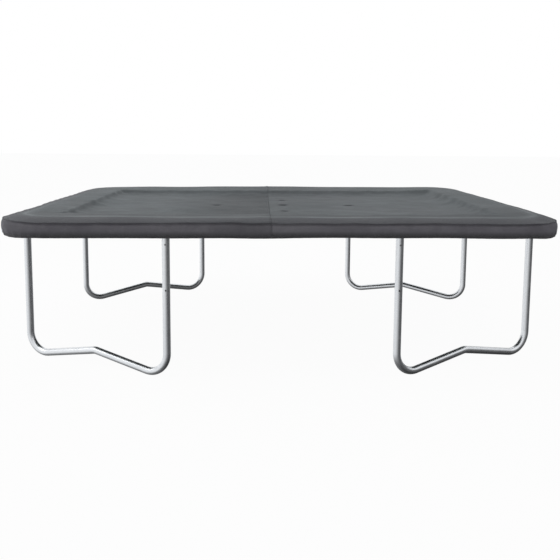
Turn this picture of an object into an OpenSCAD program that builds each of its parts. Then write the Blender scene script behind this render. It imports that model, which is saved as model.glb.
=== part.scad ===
// Rectangular garden trampoline on four W-shaped legs, with its weather cover on.
// Millimetres, +Z up, X along the length. The origin is on the floor, under the centre.
// Every outline in plan is an offset, out or in, of one "core" rectangle, whose corners are
// the centres of the frame's corner bends. "r" is always the distance out from that core.

/* [Frame] */
// Length over the rails
frame_l = 3048; // [2900:1:3200]
// Width over the rails
frame_w = 2148; // [2050:1:2300]
// Height of the rails' centre line above the floor
rail_z = 820; // [760:1:900]
// Outside diameter of the rails
rail_d = 48; // [47:0.5:50]
// Wall thickness of the rails and the legs
wall = 1.5; // [1.2:0.1:1.8]
// Radius of the corner bends at the rail's centre line
corner_r = 250; // [245:1:260]
// Length of a swaged tube end, which slides into the next tube
swage_l = 50; // [40:1:60]

/* [Legs] */
// Outside diameter of the leg tubes
leg_d = 42; // [40:0.5:43]
// Distance of the uprights on the long sides from the middle of the side
post_long = 625; // [560:1:700]
// Distance of the uprights on the short sides from the middle of the side
post_short = 630; // [560:1:680]
// Radius of the bends between the uprights and the base, at the centre line
bend_r = 115; // [95:1:130]
// Height of the base's raised middle, at the centre line
kink_z = 86; // [60:1:110]
// Radius of the bend in the base's raised middle
kink_r = 70; // [50:1:100]
// Height of the joint between an upright and its base
leg_joint_z = 166; // [160:1:200]
// Height of the screw that holds an upright on its socket
leg_screw_z = 735; // [725:1:745]
// Height of the hole that takes an enclosure pole's bolt
pole_hole_z = 487; // [400:1:560]
// Diameter of the hole that takes an enclosure pole's bolt
pole_hole_d = 9; // [6:0.5:10]

/* [Mat] */
// Thickness of the woven mat
mat_t = 1.4; // [1:0.1:2]
// How far the mat reaches out from the core rectangle
mat_r = 40; // [40:1:40]
// Width of the webbing sewn round the mat
hem_w = 45; // [30:1:60]
// Distance between springs along the long sides
pitch_long = 135; // [125:1:140]
// Distance between springs along the short sides
pitch_short = 130; // [120:1:132]
// Springs on each long side
springs_long = 18; // [12:2:18]
// Springs on each short side
springs_short = 12; // [8:2:12]
// Outside diameter of a spring
spring_d = 21; // [18:1:24]
// Length of a spring's coils
coil_l = 108; // [100:1:110]

/* [Pads] */
// How far the pads reach out from the core rectangle
pad_r = 288; // [284:1:288]
// Thickness of the pads
pad_t = 25; // [20:1:27]

/* [Cover] */
// Thickness of the cover's cloth with its coating
cover_t = 1.6; // [1.2:0.1:2]
// Height of the cover's top, over the pads
crown_z = 875; // [874:0.5:880]
// Height of the middle of the cover, which sags inside the pads
sag_z = 834; // [830:1:850]
// Height of the sewn edge between the cover's top and its skirt
crease_z = 852; // [846:1:858]
// How far the sewn edge stands out from the core rectangle
crease_r = 305; // [303:1:308]
// How far the widest part of the skirt stands out from the core rectangle
bulge_r = 310; // [309:1:314]
// Height of the lower edge of the skirt's hem
hem_z = 777; // [772:1:785]
// Distance of the seam between the cover's two halves from the middle, along X
seam_x = -92; // [-200:1:200]
// Diameter of a drain hole in the cover
drain_d = 12; // [8:1:20]

/* [Hidden] */
$fn = 48;
core_x = frame_l / 2 - rail_d / 2 - corner_r;
core_y = frame_w / 2 - rail_d / 2 - corner_r;
rail_in = corner_r - rail_d / 2;
fit_gap = 0.2;
// Frame
tail_l = 20;
joint_long = core_x - tail_l;
joint_short = core_y - tail_l;
screw_back = 25;
shank_d = 5.8;
screw_hole_d = 6.4;
rail_z_low = rail_z - rail_d / 2;
shoulder_l = 2.5;
hook_hole_d = 8;
// Legs
leg_bore = leg_d - 2 * wall;
spigot_d = leg_bore - 2 * fit_gap;
spigot_l = 70;
socket_low = leg_screw_z - 35;
upright_top = rail_z_low - 1;
leg_dx = core_x + corner_r - post_long;
leg_dy = core_y + corner_r - post_short;
leg_span = norm([leg_dx, leg_dy]);
leg_turn = -atan2(leg_dy, leg_dx);
bend_z = leg_d / 2 + bend_r;
to_kink = [leg_span / 2 - bend_r, kink_z - bend_z];
rise = atan2(to_kink.y, to_kink.x) + asin(bend_r / norm(to_kink));
kink_tangent = kink_r * tan(rise);
run_l = sqrt(norm(to_kink) ^ 2 - bend_r ^ 2) - kink_tangent;
kink_centre_z = kink_z - kink_r / cos(rise);
bead_l = 2;
bead_in_wall = 0.3;
// Springs and rings, as distances out from the core
hook_r = rail_in + 2;
coil_r = rail_in - 10;
coil_in_r = coil_r - coil_l;
ring_tip_r = coil_in_r - 17;
ring_base_r = mat_r + 6;
ring_wire = 5;
ring_w = 56;
hook_d = 3.6;
loop_w = 30;
loop_t = 9;
hem_t = 2.4;
// Pads
pad_in_r = 6;
pad_z = rail_z + rail_d / 2 + 2.4;
pad_skin = 1.2;
strap_w = 25;
strap_t = 1.4;
strap_gap = 0.4;
straps_long = 4;
straps_short = 3;
// Cover
rim_r = 290;
hem_rope_d = 5;
hem_bead_d = 9.6;
hem_rope_r = 297.6;
hem_rope_z = hem_z + hem_bead_d / 2;
hem_out_r = hem_rope_r + hem_bead_d / 2;
tray_in = 110;
tray_out = 40;
drain_x = 30;
drain_step_x = 455;
drain_step_y = 340;
eyelet_w = 5;
eyelet_t = 1.2;

SIDES = ["right", "back", "left", "front"];

// ---- Placing -------------------------------------------------------------------------------

// Half the straight length of a side, and how far its core line lies from the middle.
// Side 0 is the right, 1 the back, 2 the left and 3 the front.
function side_half(k) = k % 2 == 0 ? core_y : core_x;
function side_out(k) = k % 2 == 0 ? core_x : core_y;
function side_springs(k) = k % 2 == 0 ? springs_short : springs_long;
function side_pitch(k) = k % 2 == 0 ? pitch_short : pitch_long;
// Evenly spaced places either side of a side's middle
function spread(count, pitch) = [for (i = [0 : count - 1]) (i - (count - 1) / 2) * pitch];

// Puts the children, drawn with r along +X, on side k at each place along it.
module on_side(k, places = [0]) {
  rotate([0, 0, 90 * k]) for (y = places) translate([side_out(k), y, 0]) children();
}

// Puts the children, drawn in the corner where X and Y are positive, in the corner (sx, sy).
module in_quadrant(sx, sy) {
  mirror([sx < 0 ? 1 : 0, 0, 0]) mirror([0, sy < 0 ? 1 : 0, 0]) children();
}

// Puts the children, drawn with r along +X, on the diagonal of each corner.
module on_diagonals() {
  for (sx = [-1, 1], sy = [-1, 1])
    in_quadrant(sx, sy) translate([core_x, core_y, 0]) rotate([0, 0, 45]) children();
}

// Sweeps a profile (r across, height up) straight along side k, from y = a to y = b.
module straight_run(k, a, b) {
  rotate([0, 0, 90 * k]) translate([side_out(k), b, 0]) rotate([90, 0, 0])
    linear_extrude(b - a) children();
}

// Sweeps a profile along side k and half way round both of its corners.
module side_run(k, corner_angle = 45) {
  straight_run(k, -side_half(k), side_half(k)) children();
  rotate([0, 0, 90 * k]) for (m = [0, 1]) mirror([0, m, 0])
    translate([side_out(k), side_half(k), 0]) rotate_extrude(angle = corner_angle) children();
}

// Sweeps a profile round the half of the outline that lies right of the line x = seam.
module right_half_run(seam) {
  straight_run(0, -core_y, core_y) children();
  for (m = [0, 1]) mirror([0, m, 0]) {
    translate([core_x, core_y, 0]) rotate_extrude(angle = 90) children();
    straight_run(1, -core_x, -seam) children();
  }
}

// ---- Shapes used by several parts ----------------------------------------------------------

module ring_2d(outer_d, inner_d) {
  difference() {
    circle(d = outer_d);
    circle(d = inner_d);
  }
}

// Outline of the core rectangle, offset outwards by r.
module outline(r) {
  square([2 * core_x + 2 * r, 2 * core_y], center = true);
  square([2 * core_x, 2 * core_y + 2 * r], center = true);
  for (sx = [-1, 1], sy = [-1, 1]) translate([sx * core_x, sy * core_y]) circle(r = r);
}

module pipe(outer_d, inner_d, length) {
  linear_extrude(length) ring_2d(outer_d, inner_d);
}

// A length of rail along +Z from 0, with its swaged end beyond the length if it has one.
module rail_pipe(length, swaged = false) {
  pipe(rail_d, rail_d - 2 * wall, length - (swaged ? shoulder_l : 0));
  if (swaged) {
    swage = rail_d - 2 * wall - 2 * fit_gap;
    translate([0, 0, length - shoulder_l]) pipe(rail_d, swage - 2 * wall, shoulder_l);
    translate([0, 0, length]) pipe(swage, swage - 2 * wall, swage_l);
  }
}

// ---- Frame ---------------------------------------------------------------------------------

// Cuts the holes that the springs' hooks go into, in the rail of side k.
module hook_holes(k) {
  on_side(k, spread(side_springs(k), side_pitch(k))) hook_hole();
}

module hook_hole() {
  translate([rail_in - 10, 0, rail_z]) rotate([0, 90, 0]) cylinder(d = hook_hole_d, h = 20);
}

// Cuts or fills one screw hole that runs up into a rail at distance y along side k.
module rail_screw_place(k, y) {
  on_side(k, [y]) translate([corner_r, 0, rail_z_low]) children();
}

module screw_hole() {
  translate([0, 0, -5]) cylinder(d = screw_hole_d, h = 20);
}

// Half of a long side's rail. It runs from the middle of side k to the corner rail.
module long_rail(k, dir, swaged) {
  color("gainsboro") difference() {
    on_side(k) translate([corner_r, dir * joint_long, rail_z]) rotate([dir * 90, 0, 0])
      rail_pipe(joint_long, swaged);
    hook_holes(k);
    rail_screw_place(k, dir * (joint_long - screw_back)) screw_hole();
    rail_screw_place(k, swaged ? -dir * screw_back : dir * screw_back) screw_hole();
  }
}

module short_rail(k) {
  color("gainsboro") difference() {
    on_side(k) translate([corner_r, joint_short, rail_z]) rotate([90, 0, 0])
      rail_pipe(2 * joint_short);
    hook_holes(k);
    for (s = [-1, 1]) rail_screw_place(k, s * (joint_short - screw_back)) screw_hole();
  }
}

// A quarter bend with a swaged end that goes into the straight rail on either side of it.
module corner_rail(sx, sy) {
  color("gainsboro") in_quadrant(sx, sy) difference() {
    union() {
      translate([core_x, core_y, rail_z]) rotate_extrude(angle = 90) translate([corner_r, 0])
        ring_2d(rail_d, rail_d - 2 * wall);
      translate([core_x + corner_r, core_y, rail_z]) rotate([90, 0, 0]) rail_pipe(tail_l, true);
      translate([core_x, core_y + corner_r, rail_z]) rotate([0, -90, 0]) rail_pipe(tail_l, true);
    }
    translate([core_x, core_y, 0]) rotate([0, 0, 45]) hook_hole();
    rail_screw_place(0, joint_short - screw_back) screw_hole();
    rail_screw_place(1, -joint_long + screw_back) screw_hole();
  }
}

// The screws' places: two to a corner rail, and one in the middle of each long side
module at_rail_screws() {
  for (k = [0, 2], s = [-1, 1]) rail_screw_place(k, s * (joint_short - screw_back)) children();
  for (k = [1, 3], s = [-1, 1]) rail_screw_place(k, s * (joint_long - screw_back)) children();
  rail_screw_place(1, -screw_back) children();
  rail_screw_place(3, screw_back) children();
}

// Hexagon-headed screw with a flange. It points along +Z from the tube's surface.
module flange_screw() {
  translate([0, 0, -1.5]) cylinder(d = 13, h = 1.5);
  translate([0, 0, -5.5]) cylinder(d = 11.5, h = 4.2, $fn = 6);
  translate([0, 0, -1]) cylinder(d = shank_d, h = 13);
}

module rail_screws() {
  color("silver") at_rail_screws() flange_screw();
}

// ---- Legs ----------------------------------------------------------------------------------

// Puts the children at the top end of each leg socket, with +X pointing out of the trampoline.
module at_posts() {
  for (k = [0 : 3]) {
    post = k % 2 == 0 ? post_short : post_long;
    on_side(k, [-post, post]) translate([corner_r, 0, 0]) children();
  }
}

// Stubs welded under the rails, each cut to a saddle that fits the rail.
module leg_sockets() {
  color("silver") at_posts() difference() {
    translate([0, 0, socket_low]) pipe(spigot_d, spigot_d - 2 * wall, rail_z - socket_low);
    translate([0, 40, rail_z]) rotate([90, 0, 0]) cylinder(d = rail_d, h = 80);
    translate([0, 0, leg_screw_z]) rotate([0, 90, 0]) cylinder(d = screw_hole_d, h = 30);
  }
}

module leg_screws() {
  color("dimgray") at_posts() translate([leg_d / 2, 0, leg_screw_z]) rotate([0, 90, 0]) {
    cylinder(d = 10, h = 2);
    translate([0, 0, 2]) cylinder(d = 7.5, h = 1);
    translate([0, 0, -8]) cylinder(d = shank_d, h = 9);
  }
}

// Upright tube on side k, at distance y along it.
module upright(k, y) {
  color("gainsboro") on_side(k, [y]) translate([corner_r, 0, 0]) difference() {
    translate([0, 0, leg_joint_z]) pipe(leg_d, leg_bore, upright_top - leg_joint_z);
    translate([0, 0, leg_screw_z]) rotate([0, 90, 0]) cylinder(d = screw_hole_d, h = 30);
    if (k % 2 == 1)
      translate([0, 0, pole_hole_z]) rotate([0, 90, 0]) cylinder(d = pole_hole_d, h = 30);
  }
}

// One bent tube: up, bend, rising run, kink, falling run, bend, up. It stands on its two bends.
// A low bead inside the tube at each end of a run ties the run to the bend next to it.
module leg_base(sx, sy) {
  color("gainsboro") in_quadrant(sx, sy)
    translate([post_long, core_y + corner_r, 0]) rotate([0, 0, leg_turn]) {
      leg_base_half();
      translate([leg_span, 0, 0]) mirror([1, 0, 0]) leg_base_half();
      translate([leg_span / 2, 0, kink_centre_z]) rotate([90, 0, 0]) rotate([0, 0, 90 - rise])
        rotate_extrude(angle = 2 * rise) translate([kink_r, 0]) ring_2d(leg_d, leg_bore);
    }
}

module leg_base_half() {
  stub_l = leg_joint_z - bend_z - shoulder_l;
  translate([0, 0, bend_z]) pipe(leg_d, leg_bore, stub_l);
  translate([0, 0, bend_z + stub_l]) pipe(leg_d, spigot_d - 2 * wall, shoulder_l);
  translate([0, 0, leg_joint_z]) pipe(spigot_d, spigot_d - 2 * wall, spigot_l);
  translate([bend_r, 0, bend_z]) rotate([90, 0, 0]) {
    rotate([0, 0, 180]) rotate_extrude(angle = 90 + rise) translate([bend_r, 0])
      ring_2d(leg_d, leg_bore);
    rotate([0, 0, rise]) translate([0, -bend_r, 0]) rotate([0, 90, 0]) {
      pipe(leg_d, leg_bore, run_l);
      for (z = [0, run_l]) translate([0, 0, z - bead_l / 2])
        pipe(leg_bore + bead_in_wall, leg_bore - 2 * bead_in_wall, bead_l);
    }
  }
}

// ---- Springs, rings and mat ----------------------------------------------------------------

// One spring at rest, drawn along r as a sleeve of its outer size with a hook at each end.
module spring() {
  translate([coil_in_r, 0, rail_z]) rotate([0, 90, 0]) pipe(spring_d, spring_d - 8, coil_l);
  spring_hook(coil_r - 4, hook_r);
  spring_hook(ring_tip_r + 1, coil_in_r + 4);
}

// A hook's shaft from one distance out to another, with the bar that ties it to the coils.
module spring_hook(from_r, to_r) {
  bar_r = from_r > coil_in_r + 10 ? from_r : to_r;
  translate([from_r, 0, rail_z]) rotate([0, 90, 0]) cylinder(d = hook_d, h = to_r - from_r);
  translate([bar_r, 0, rail_z - spring_d / 2 + 2]) cylinder(d = hook_d, h = spring_d - 4);
}

module springs(k) {
  color("silver") on_side(k, spread(side_springs(k), side_pitch(k))) spring();
}

module springs_corners() {
  color("silver") on_diagonals() spring();
}

// Triangular ring of wire. Its base lies in a loop on the mat and its tip takes a spring's hook.
module v_ring() {
  translate([0, 0, rail_z - ring_wire / 2]) linear_extrude(ring_wire) difference() {
    polygon([[ring_base_r, -ring_w / 2], [ring_tip_r, -5], [ring_tip_r, 5], [ring_base_r, ring_w / 2]]);
    polygon([
      [ring_base_r + ring_wire, -ring_w / 2 + 9], [ring_tip_r - ring_wire, -2],
      [ring_tip_r - ring_wire, 2], [ring_base_r + ring_wire, ring_w / 2 - 9]
    ]);
  }
}

module rings(k) {
  color("silver") on_side(k, spread(side_springs(k), side_pitch(k))) v_ring();
}

module rings_corners() {
  color("silver") on_diagonals() v_ring();
}

// Webbing that wraps the ring's base bar and is sewn to the edge of the mat.
module ring_loop() {
  inner_t = ring_wire + 2 * fit_gap;
  loop_out_r = ring_base_r + ring_wire + 2;
  translate([0, loop_w / 2, rail_z]) rotate([90, 0, 0]) linear_extrude(loop_w) difference() {
    translate([mat_r, -loop_t / 2]) square([loop_out_r - mat_r, loop_t]);
    translate([ring_base_r - fit_gap, -inner_t / 2]) square([ring_wire + 2 * fit_gap, inner_t]);
  }
}

module ring_loops() {
  color("#2b2b2d") {
    for (k = [0 : 3]) on_side(k, spread(side_springs(k), side_pitch(k))) ring_loop();
    on_diagonals() ring_loop();
  }
}

module jumping_mat() {
  color("#1d1e20") translate([0, 0, rail_z - mat_t / 2]) linear_extrude(mat_t) outline(mat_r);
}

module mat_hem() {
  color("#2b2b2d") translate([0, 0, rail_z - mat_t / 2 - hem_t]) linear_extrude(hem_t) difference() {
    outline(mat_r);
    square([2 * (core_x + mat_r - hem_w), 2 * (core_y + mat_r - hem_w)], center = true);
  }
}

// ---- Pads ----------------------------------------------------------------------------------

// Section of a pad, drawn skin deep inside its outer face: round outside, square inside.
module pad_section(inset) {
  low = pad_z + inset;
  high = pad_z + pad_t - inset;
  round_r = 9;
  translate([pad_in_r + inset, low]) square([pad_r - pad_in_r - inset - round_r, high - low]);
  translate([pad_r - round_r - inset - 1, low + round_r])
    square([round_r + 1, high - low - 2 * round_r]);
  for (z = [low + round_r, high - round_r]) translate([pad_r - round_r - inset, z]) circle(r = round_r);
}

// Coated cloth skin of the pad on side k, mitred at the corners.
module pad(k) {
  color("darkgreen") difference() {
    side_run(k) pad_section(0);
    side_run(k, 44) pad_section(pad_skin);
  }
}

module pad_foam(k) {
  color("ivory") side_run(k, 43.8) pad_section(pad_skin + fit_gap);
}

// Elastic bands that hold the pads down, each round the rail.
module pad_straps() {
  color("#2b2b2d") for (k = [0 : 3]) {
    count = k % 2 == 0 ? straps_short : straps_long;
    on_side(k, spread(count, 2 * side_half(k) / count)) strap();
  }
}

module strap() {
  inner_d = rail_d + 2 * strap_gap;
  translate([corner_r, strap_w / 2, rail_z]) rotate([90, 0, 0])
    pipe(inner_d + 2 * strap_t, inner_d, strap_w);
}

// ---- Cover ---------------------------------------------------------------------------------

// The cover's cloth where it rounds over the pads' edge, down to the sewn edge.
module rim_section() {
  steps = 5;
  drop = crown_z - crease_z;
  reach = crease_r - rim_r;
  outer = [for (i = [0 : steps]) let (a = 90 * i / steps)
    [rim_r + reach * sin(a), crease_z + drop * cos(a)]];
  inner = [for (i = [steps : -1 : 0]) let (a = 90 * i / steps)
    [rim_r + (reach - cover_t) * sin(a), crease_z + (drop - cover_t) * cos(a)]];
  polygon(concat([[rim_r - 3, crown_z]], outer, inner, [[rim_r - 3, crown_z - cover_t]]));
}

// How far the skirt stands out at a share t of the way down: it swells, then draws in to the hem.
function skirt_r(t) =
  crease_r * (1 - t) + hem_out_r * t + 4 * (bulge_r - (crease_r + hem_out_r) / 2) * t * (1 - t);

// The skirt's cloth, rolled at its lower edge into the hem that the elastic runs in.
module skirt_section() {
  steps = 7;
  depth = crease_z - hem_rope_z;
  outer = [for (i = [0 : steps]) let (t = i / steps) [skirt_r(t), crease_z - depth * t]];
  roll = [for (a = [-30 : -30 : -210])
    [hem_rope_r + hem_bead_d / 2 * cos(a), hem_rope_z + hem_bead_d / 2 * sin(a)]];
  inner = [for (i = [steps - 1 : -1 : 0]) let (t = i / steps)
    [skirt_r(t) - cover_t, crease_z - depth * t]];
  difference() {
    polygon(concat(outer, roll, inner));
    translate([hem_rope_r, hem_rope_z]) circle(d = hem_rope_d + 2 * fit_gap);
  }
}

// The cover's flat cloth over the pads, with an opening for the part that sags inside them.
module top_cloth() {
  translate([0, 0, crown_z - cover_t]) linear_extrude(cover_t) difference() {
    outline(rim_r);
    square([2 * (core_x - tray_out), 2 * (core_y - tray_out)], center = true);
  }
}

// The cloth that slopes down inside the pads and lies just over the mat: four slopes and a floor.
module sagging_cloth() {
  half = [core_x - tray_out, core_y - tray_out];
  floor_half = [core_x - tray_in, core_y - tray_in];
  corners = [[1, 1], [-1, 1], [-1, -1], [1, -1]];
  top = [for (c = corners) [c.x * half.x, c.y * half.y, crown_z]];
  low = [for (c = corners) [c.x * floor_half.x, c.y * floor_half.y, sag_z]];
  drop = [0, 0, cover_t];
  points = concat(top, low, [for (p = top) p - drop], [for (p = low) p - drop]);
  slopes = [for (i = [0 : 3]) let (j = (i + 1) % 4) [i, 4 + i, 4 + j, j]];
  under = [for (i = [0 : 3]) let (j = (i + 1) % 4) [8 + i, 8 + j, 12 + j, 12 + i]];
  edges = [for (i = [0 : 3]) let (j = (i + 1) % 4) [i, j, 8 + j, 8 + i]];
  polyhedron(points, concat(slopes, under, edges, [[7, 6, 5, 4], [12, 13, 14, 15]]));
}

module at_drains() {
  for (p = [[-1, 0], [0, 0], [1, 0], [0, -1], [0, 1]])
    translate([drain_x + p.x * drain_step_x, p.y * drain_step_y, sag_z - cover_t]) children();
}

// One half of the cover's top: everything on the side of the seam that dir points to.
module cover_top(dir) {
  size = 4000;
  color("#6b7070") difference() {
    union() {
      top_cloth();
      sagging_cloth();
      mirror([dir < 0 ? 1 : 0, 0, 0]) right_half_run(dir * seam_x) rim_section();
    }
    translate([seam_x - (dir > 0 ? size : 0), -size / 2, 0]) cube([size, size, size]);
    at_drains() translate([0, 0, -5]) cylinder(d = drain_d, h = 10);
  }
}

module cover_skirt(dir) {
  color("#4d4b50") mirror([dir < 0 ? 1 : 0, 0, 0]) right_half_run(dir * seam_x) skirt_section();
}

// The elastic cord that runs all the way round inside the hem.
module hem_elastic() {
  color("#1b1b1b") {
    for (k = [0 : 3]) straight_run(k, -side_half(k), side_half(k)) hem_cord_section();
    for (sx = [-1, 1], sy = [-1, 1]) in_quadrant(sx, sy) translate([core_x, core_y, 0])
      rotate_extrude(angle = 90) hem_cord_section();
  }
}

module hem_cord_section() {
  translate([hem_rope_r, hem_rope_z]) circle(d = hem_rope_d);
}

// Pressed rings round the drain holes, on top of the cloth.
module drain_eyelets() {
  color("#202224") at_drains() translate([0, 0, cover_t])
    pipe(drain_d + 2 * eyelet_w, drain_d, eyelet_t);
}

// ---- Nodes ---------------------------------------------------------------------------------

long_rail(3, -1, true);  // rail_front_left
long_rail(3, 1, false);  // rail_front_right
long_rail(1, 1, true);  // rail_back_left
long_rail(1, -1, false);  // rail_back_right
short_rail(2);  // rail_left
short_rail(0);  // rail_right
corner_rail(-1, -1);  // corner_rail_front_left
corner_rail(1, -1);  // corner_rail_front_right
corner_rail(-1, 1);  // corner_rail_back_left
corner_rail(1, 1);  // corner_rail_back_right
leg_sockets();
rail_screws();
leg_screws();
upright(3, -post_long);  // upright_front_left_side
upright(2, post_short);  // upright_front_left_end
upright(3, post_long);  // upright_front_right_side
upright(0, -post_short);  // upright_front_right_end
upright(1, post_long);  // upright_back_left_side
upright(2, -post_short);  // upright_back_left_end
upright(1, -post_long);  // upright_back_right_side
upright(0, post_short);  // upright_back_right_end
leg_base(-1, -1);  // leg_base_front_left
leg_base(1, -1);  // leg_base_front_right
leg_base(-1, 1);  // leg_base_back_left
leg_base(1, 1);  // leg_base_back_right
for (k = [0 : 3]) {
  springs(k);
  rings(k);
  pad(k);
  pad_foam(k);
}
springs_corners();
rings_corners();
ring_loops();
jumping_mat();
mat_hem();
pad_straps();
cover_top(-1);  // cover_top_left
cover_top(1);  // cover_top_right
cover_skirt(-1);  // cover_skirt_left
cover_skirt(1);  // cover_skirt_right
hem_elastic();
drain_eyelets();
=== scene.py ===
"""The looks of a rectangular garden trampoline with its weather cover on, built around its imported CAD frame.

Lengths are metres in the frame of the CAD. The cover, pads and mat are laid out by r, a point's distance
outside the core: the rectangle that joins the four bend centres of the corner rails. Inside it r is negative.
"""

import math

import bpy
import numpy as np
from mathutils import Matrix, Vector


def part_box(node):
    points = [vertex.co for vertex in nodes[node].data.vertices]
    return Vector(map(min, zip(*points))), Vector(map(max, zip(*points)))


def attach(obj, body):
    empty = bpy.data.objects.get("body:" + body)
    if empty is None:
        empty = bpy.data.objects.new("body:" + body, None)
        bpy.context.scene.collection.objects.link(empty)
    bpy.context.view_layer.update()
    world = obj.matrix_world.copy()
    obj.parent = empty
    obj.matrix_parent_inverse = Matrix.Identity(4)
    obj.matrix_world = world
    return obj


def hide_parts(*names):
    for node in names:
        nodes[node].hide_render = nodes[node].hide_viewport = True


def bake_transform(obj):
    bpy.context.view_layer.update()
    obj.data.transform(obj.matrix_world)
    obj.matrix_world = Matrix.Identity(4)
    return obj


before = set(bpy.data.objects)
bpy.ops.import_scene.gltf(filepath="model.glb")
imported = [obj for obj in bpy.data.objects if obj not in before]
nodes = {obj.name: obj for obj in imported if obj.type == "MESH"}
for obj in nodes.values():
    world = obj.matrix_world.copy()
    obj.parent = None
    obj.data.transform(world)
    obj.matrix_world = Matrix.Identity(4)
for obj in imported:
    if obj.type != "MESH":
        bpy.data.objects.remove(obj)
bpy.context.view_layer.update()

# ---------------------------------------------------------------- sizes read from the frame

RAIL_BEND = 0.25                                  # centreline radius of the corner rails
RAIL_RADIUS = 0.024
RAIL_Z = (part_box("rail_left")[0].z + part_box("rail_left")[1].z) / 2
CORE_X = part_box("rail_right")[1].x - RAIL_RADIUS - RAIL_BEND
CORE_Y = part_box("rail_back_left")[1].y - RAIL_RADIUS - RAIL_BEND
SEAM_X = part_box("cover_top_left")[1].x + 0.02     # where the cover's two halves are sewn together

CROWN_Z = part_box("cover_top_left")[1].z           # the cover over the middle of the pads
SAG_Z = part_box("cover_top_left")[0].z + 0.0016    # and where it lies over the mat
CREASE_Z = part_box("cover_skirt_left")[1].z        # the seam between the cover's top and its skirt
BULGE_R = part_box("cover_skirt_right")[1].x - CORE_X
CREASE_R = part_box("cover_top_right")[1].x - CORE_X
ELASTIC_Z = (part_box("hem_elastic")[0].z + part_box("hem_elastic")[1].z) / 2
ELASTIC_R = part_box("hem_elastic")[1].x - 0.0025 - CORE_X
EDGE_R = 0.3                                      # about where the cover's edge is, and its length measured
EDGE_SPACING = 0.0085                             # between the columns of the skirt, the hem and the elastic

PAD_INNER_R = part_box("pad_right")[0].x - CORE_X
PAD_OUTER_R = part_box("pad_right")[1].x - CORE_X
PAD_LOW_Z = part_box("pad_front")[0].z
PAD_TOP_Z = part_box("pad_front")[1].z

MAT_TOP_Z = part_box("jumping_mat")[1].z
MAT_EDGE_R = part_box("jumping_mat")[1].x - CORE_X
HEM_LOW_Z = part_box("mat_hem")[0].z

SPRINGS_LONG = 18                                 # springs on each long side, each short side
SPRINGS_SHORT = 12
PITCH_LONG = 0.135
PITCH_SHORT = 0.130


# ---------------------------------------------------------------- plan: rounded rectangles round the core

def lines(stops, spacings):
    """Grid lines through all the stops, evenly spaced in each gap at about that gap's spacing."""
    out = [stops[0]]
    for low, high, spacing in zip(stops, stops[1:], spacings):
        count = max(1, round((high - low) / spacing))
        out += [low + (high - low) * (i + 1) / count for i in range(count)]
    return np.array(out)


def to_plan(u, v):
    """Square-cornered (u, v) to a foot on the core, a way out and r. Inside, a point is its own foot."""
    a = np.abs(u) - CORE_X
    b = np.abs(v) - CORE_Y
    r = np.maximum(a, b)
    corner = (a > 0) & (b > 0)
    turn = math.pi / 4 * np.where(corner, np.minimum(a, b), 0.0) / np.where(corner, r, 1.0)
    angle = np.where(a >= b, turn, math.pi / 2 - turn)
    foot = np.stack([np.clip(u, -CORE_X, CORE_X), np.clip(v, -CORE_Y, CORE_Y)], axis=-1)
    out_x = np.where(corner, np.cos(angle), a > 0) * np.sign(u)
    out_y = np.where(corner, np.sin(angle), b > 0) * np.sign(v)
    return foot, np.stack([out_x, out_y], axis=-1), r


def plan_points(foot, out, r):
    """(x, y) at r. Where a point is its own foot its direction is zero, so r doesn't move it."""
    return foot + out * np.maximum(r, 0)[..., None]


def mitred_r(u, v, softness=0.02):
    """r with the mitres inside the core rounded off."""
    a = np.abs(u) - CORE_X
    b = np.abs(v) - CORE_Y
    gap = np.clip(0.5 + 0.5 * (a - b) / softness, 0, 1)
    return b * (1 - gap) + a * gap + softness * gap * (1 - gap)


def perimeter(spacing, x_stops=()):
    """Points of the core's outline, anticlockwise from the middle of the right side. The long sides also get
    a point at each x stop. Returns feet (n, 2), outward directions (n, 2) and lengths along EDGE_R."""
    feet, outs = [], []

    def side(start, end, out, stops=()):
        length = math.dist(start, end)
        count = round(length / spacing)
        shares = [i / count for i in range(count)]
        if stops:
            shares = sorted(set(shares + [(s - start[0]) / (end[0] - start[0]) for s in stops]))
        for t in shares:
            feet.append((start[0] + (end[0] - start[0]) * t, start[1] + (end[1] - start[1]) * t))
            outs.append(out)

    def bend(centre, first):
        count = round(BULGE_R * math.pi / 2 / spacing)
        for i in range(count):
            angle = first + math.pi / 2 * i / count
            feet.append(centre)
            outs.append((math.cos(angle), math.sin(angle)))

    side((CORE_X, 0), (CORE_X, CORE_Y), (1, 0))
    bend((CORE_X, CORE_Y), 0)
    side((CORE_X, CORE_Y), (-CORE_X, CORE_Y), (0, 1), x_stops)
    bend((-CORE_X, CORE_Y), math.pi / 2)
    side((-CORE_X, CORE_Y), (-CORE_X, -CORE_Y), (-1, 0))
    bend((-CORE_X, -CORE_Y), math.pi)
    side((-CORE_X, -CORE_Y), (CORE_X, -CORE_Y), (0, -1), x_stops)
    bend((CORE_X, -CORE_Y), math.pi * 1.5)
    side((CORE_X, -CORE_Y), (CORE_X, 0), (1, 0))
    feet, outs = np.array(feet), np.array(outs)
    rim = feet + EDGE_R * outs
    steps = np.linalg.norm(np.roll(rim, -1, axis=0) - rim, axis=1)
    along = np.concatenate([[0], np.cumsum(steps)[:-1]])
    return feet, outs, along


def edge_plan(foot, out):
    """x and y about where the cover's edge lies."""
    return foot[..., 0] + EDGE_R * out[..., 0], foot[..., 1] + EDGE_R * out[..., 1]


def closed(points):
    """The points with the first one again at the end."""
    return np.vstack([points, points[:1]])


def lengths_along(path):
    """The distance along a path to each of its points."""
    return np.concatenate([[0], np.cumsum([math.dist(a, b) for a, b in zip(path, path[1:])])])


# ---------------------------------------------------------------- shapes of change: smooth steps and ripples

def smooth(low, high, x):
    """0 below low, 1 above high, and an S curve between them."""
    t = np.clip((np.asarray(x, float) - low) / (high - low), 0, 1)
    return t * t * (3 - 2 * t)


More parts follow.
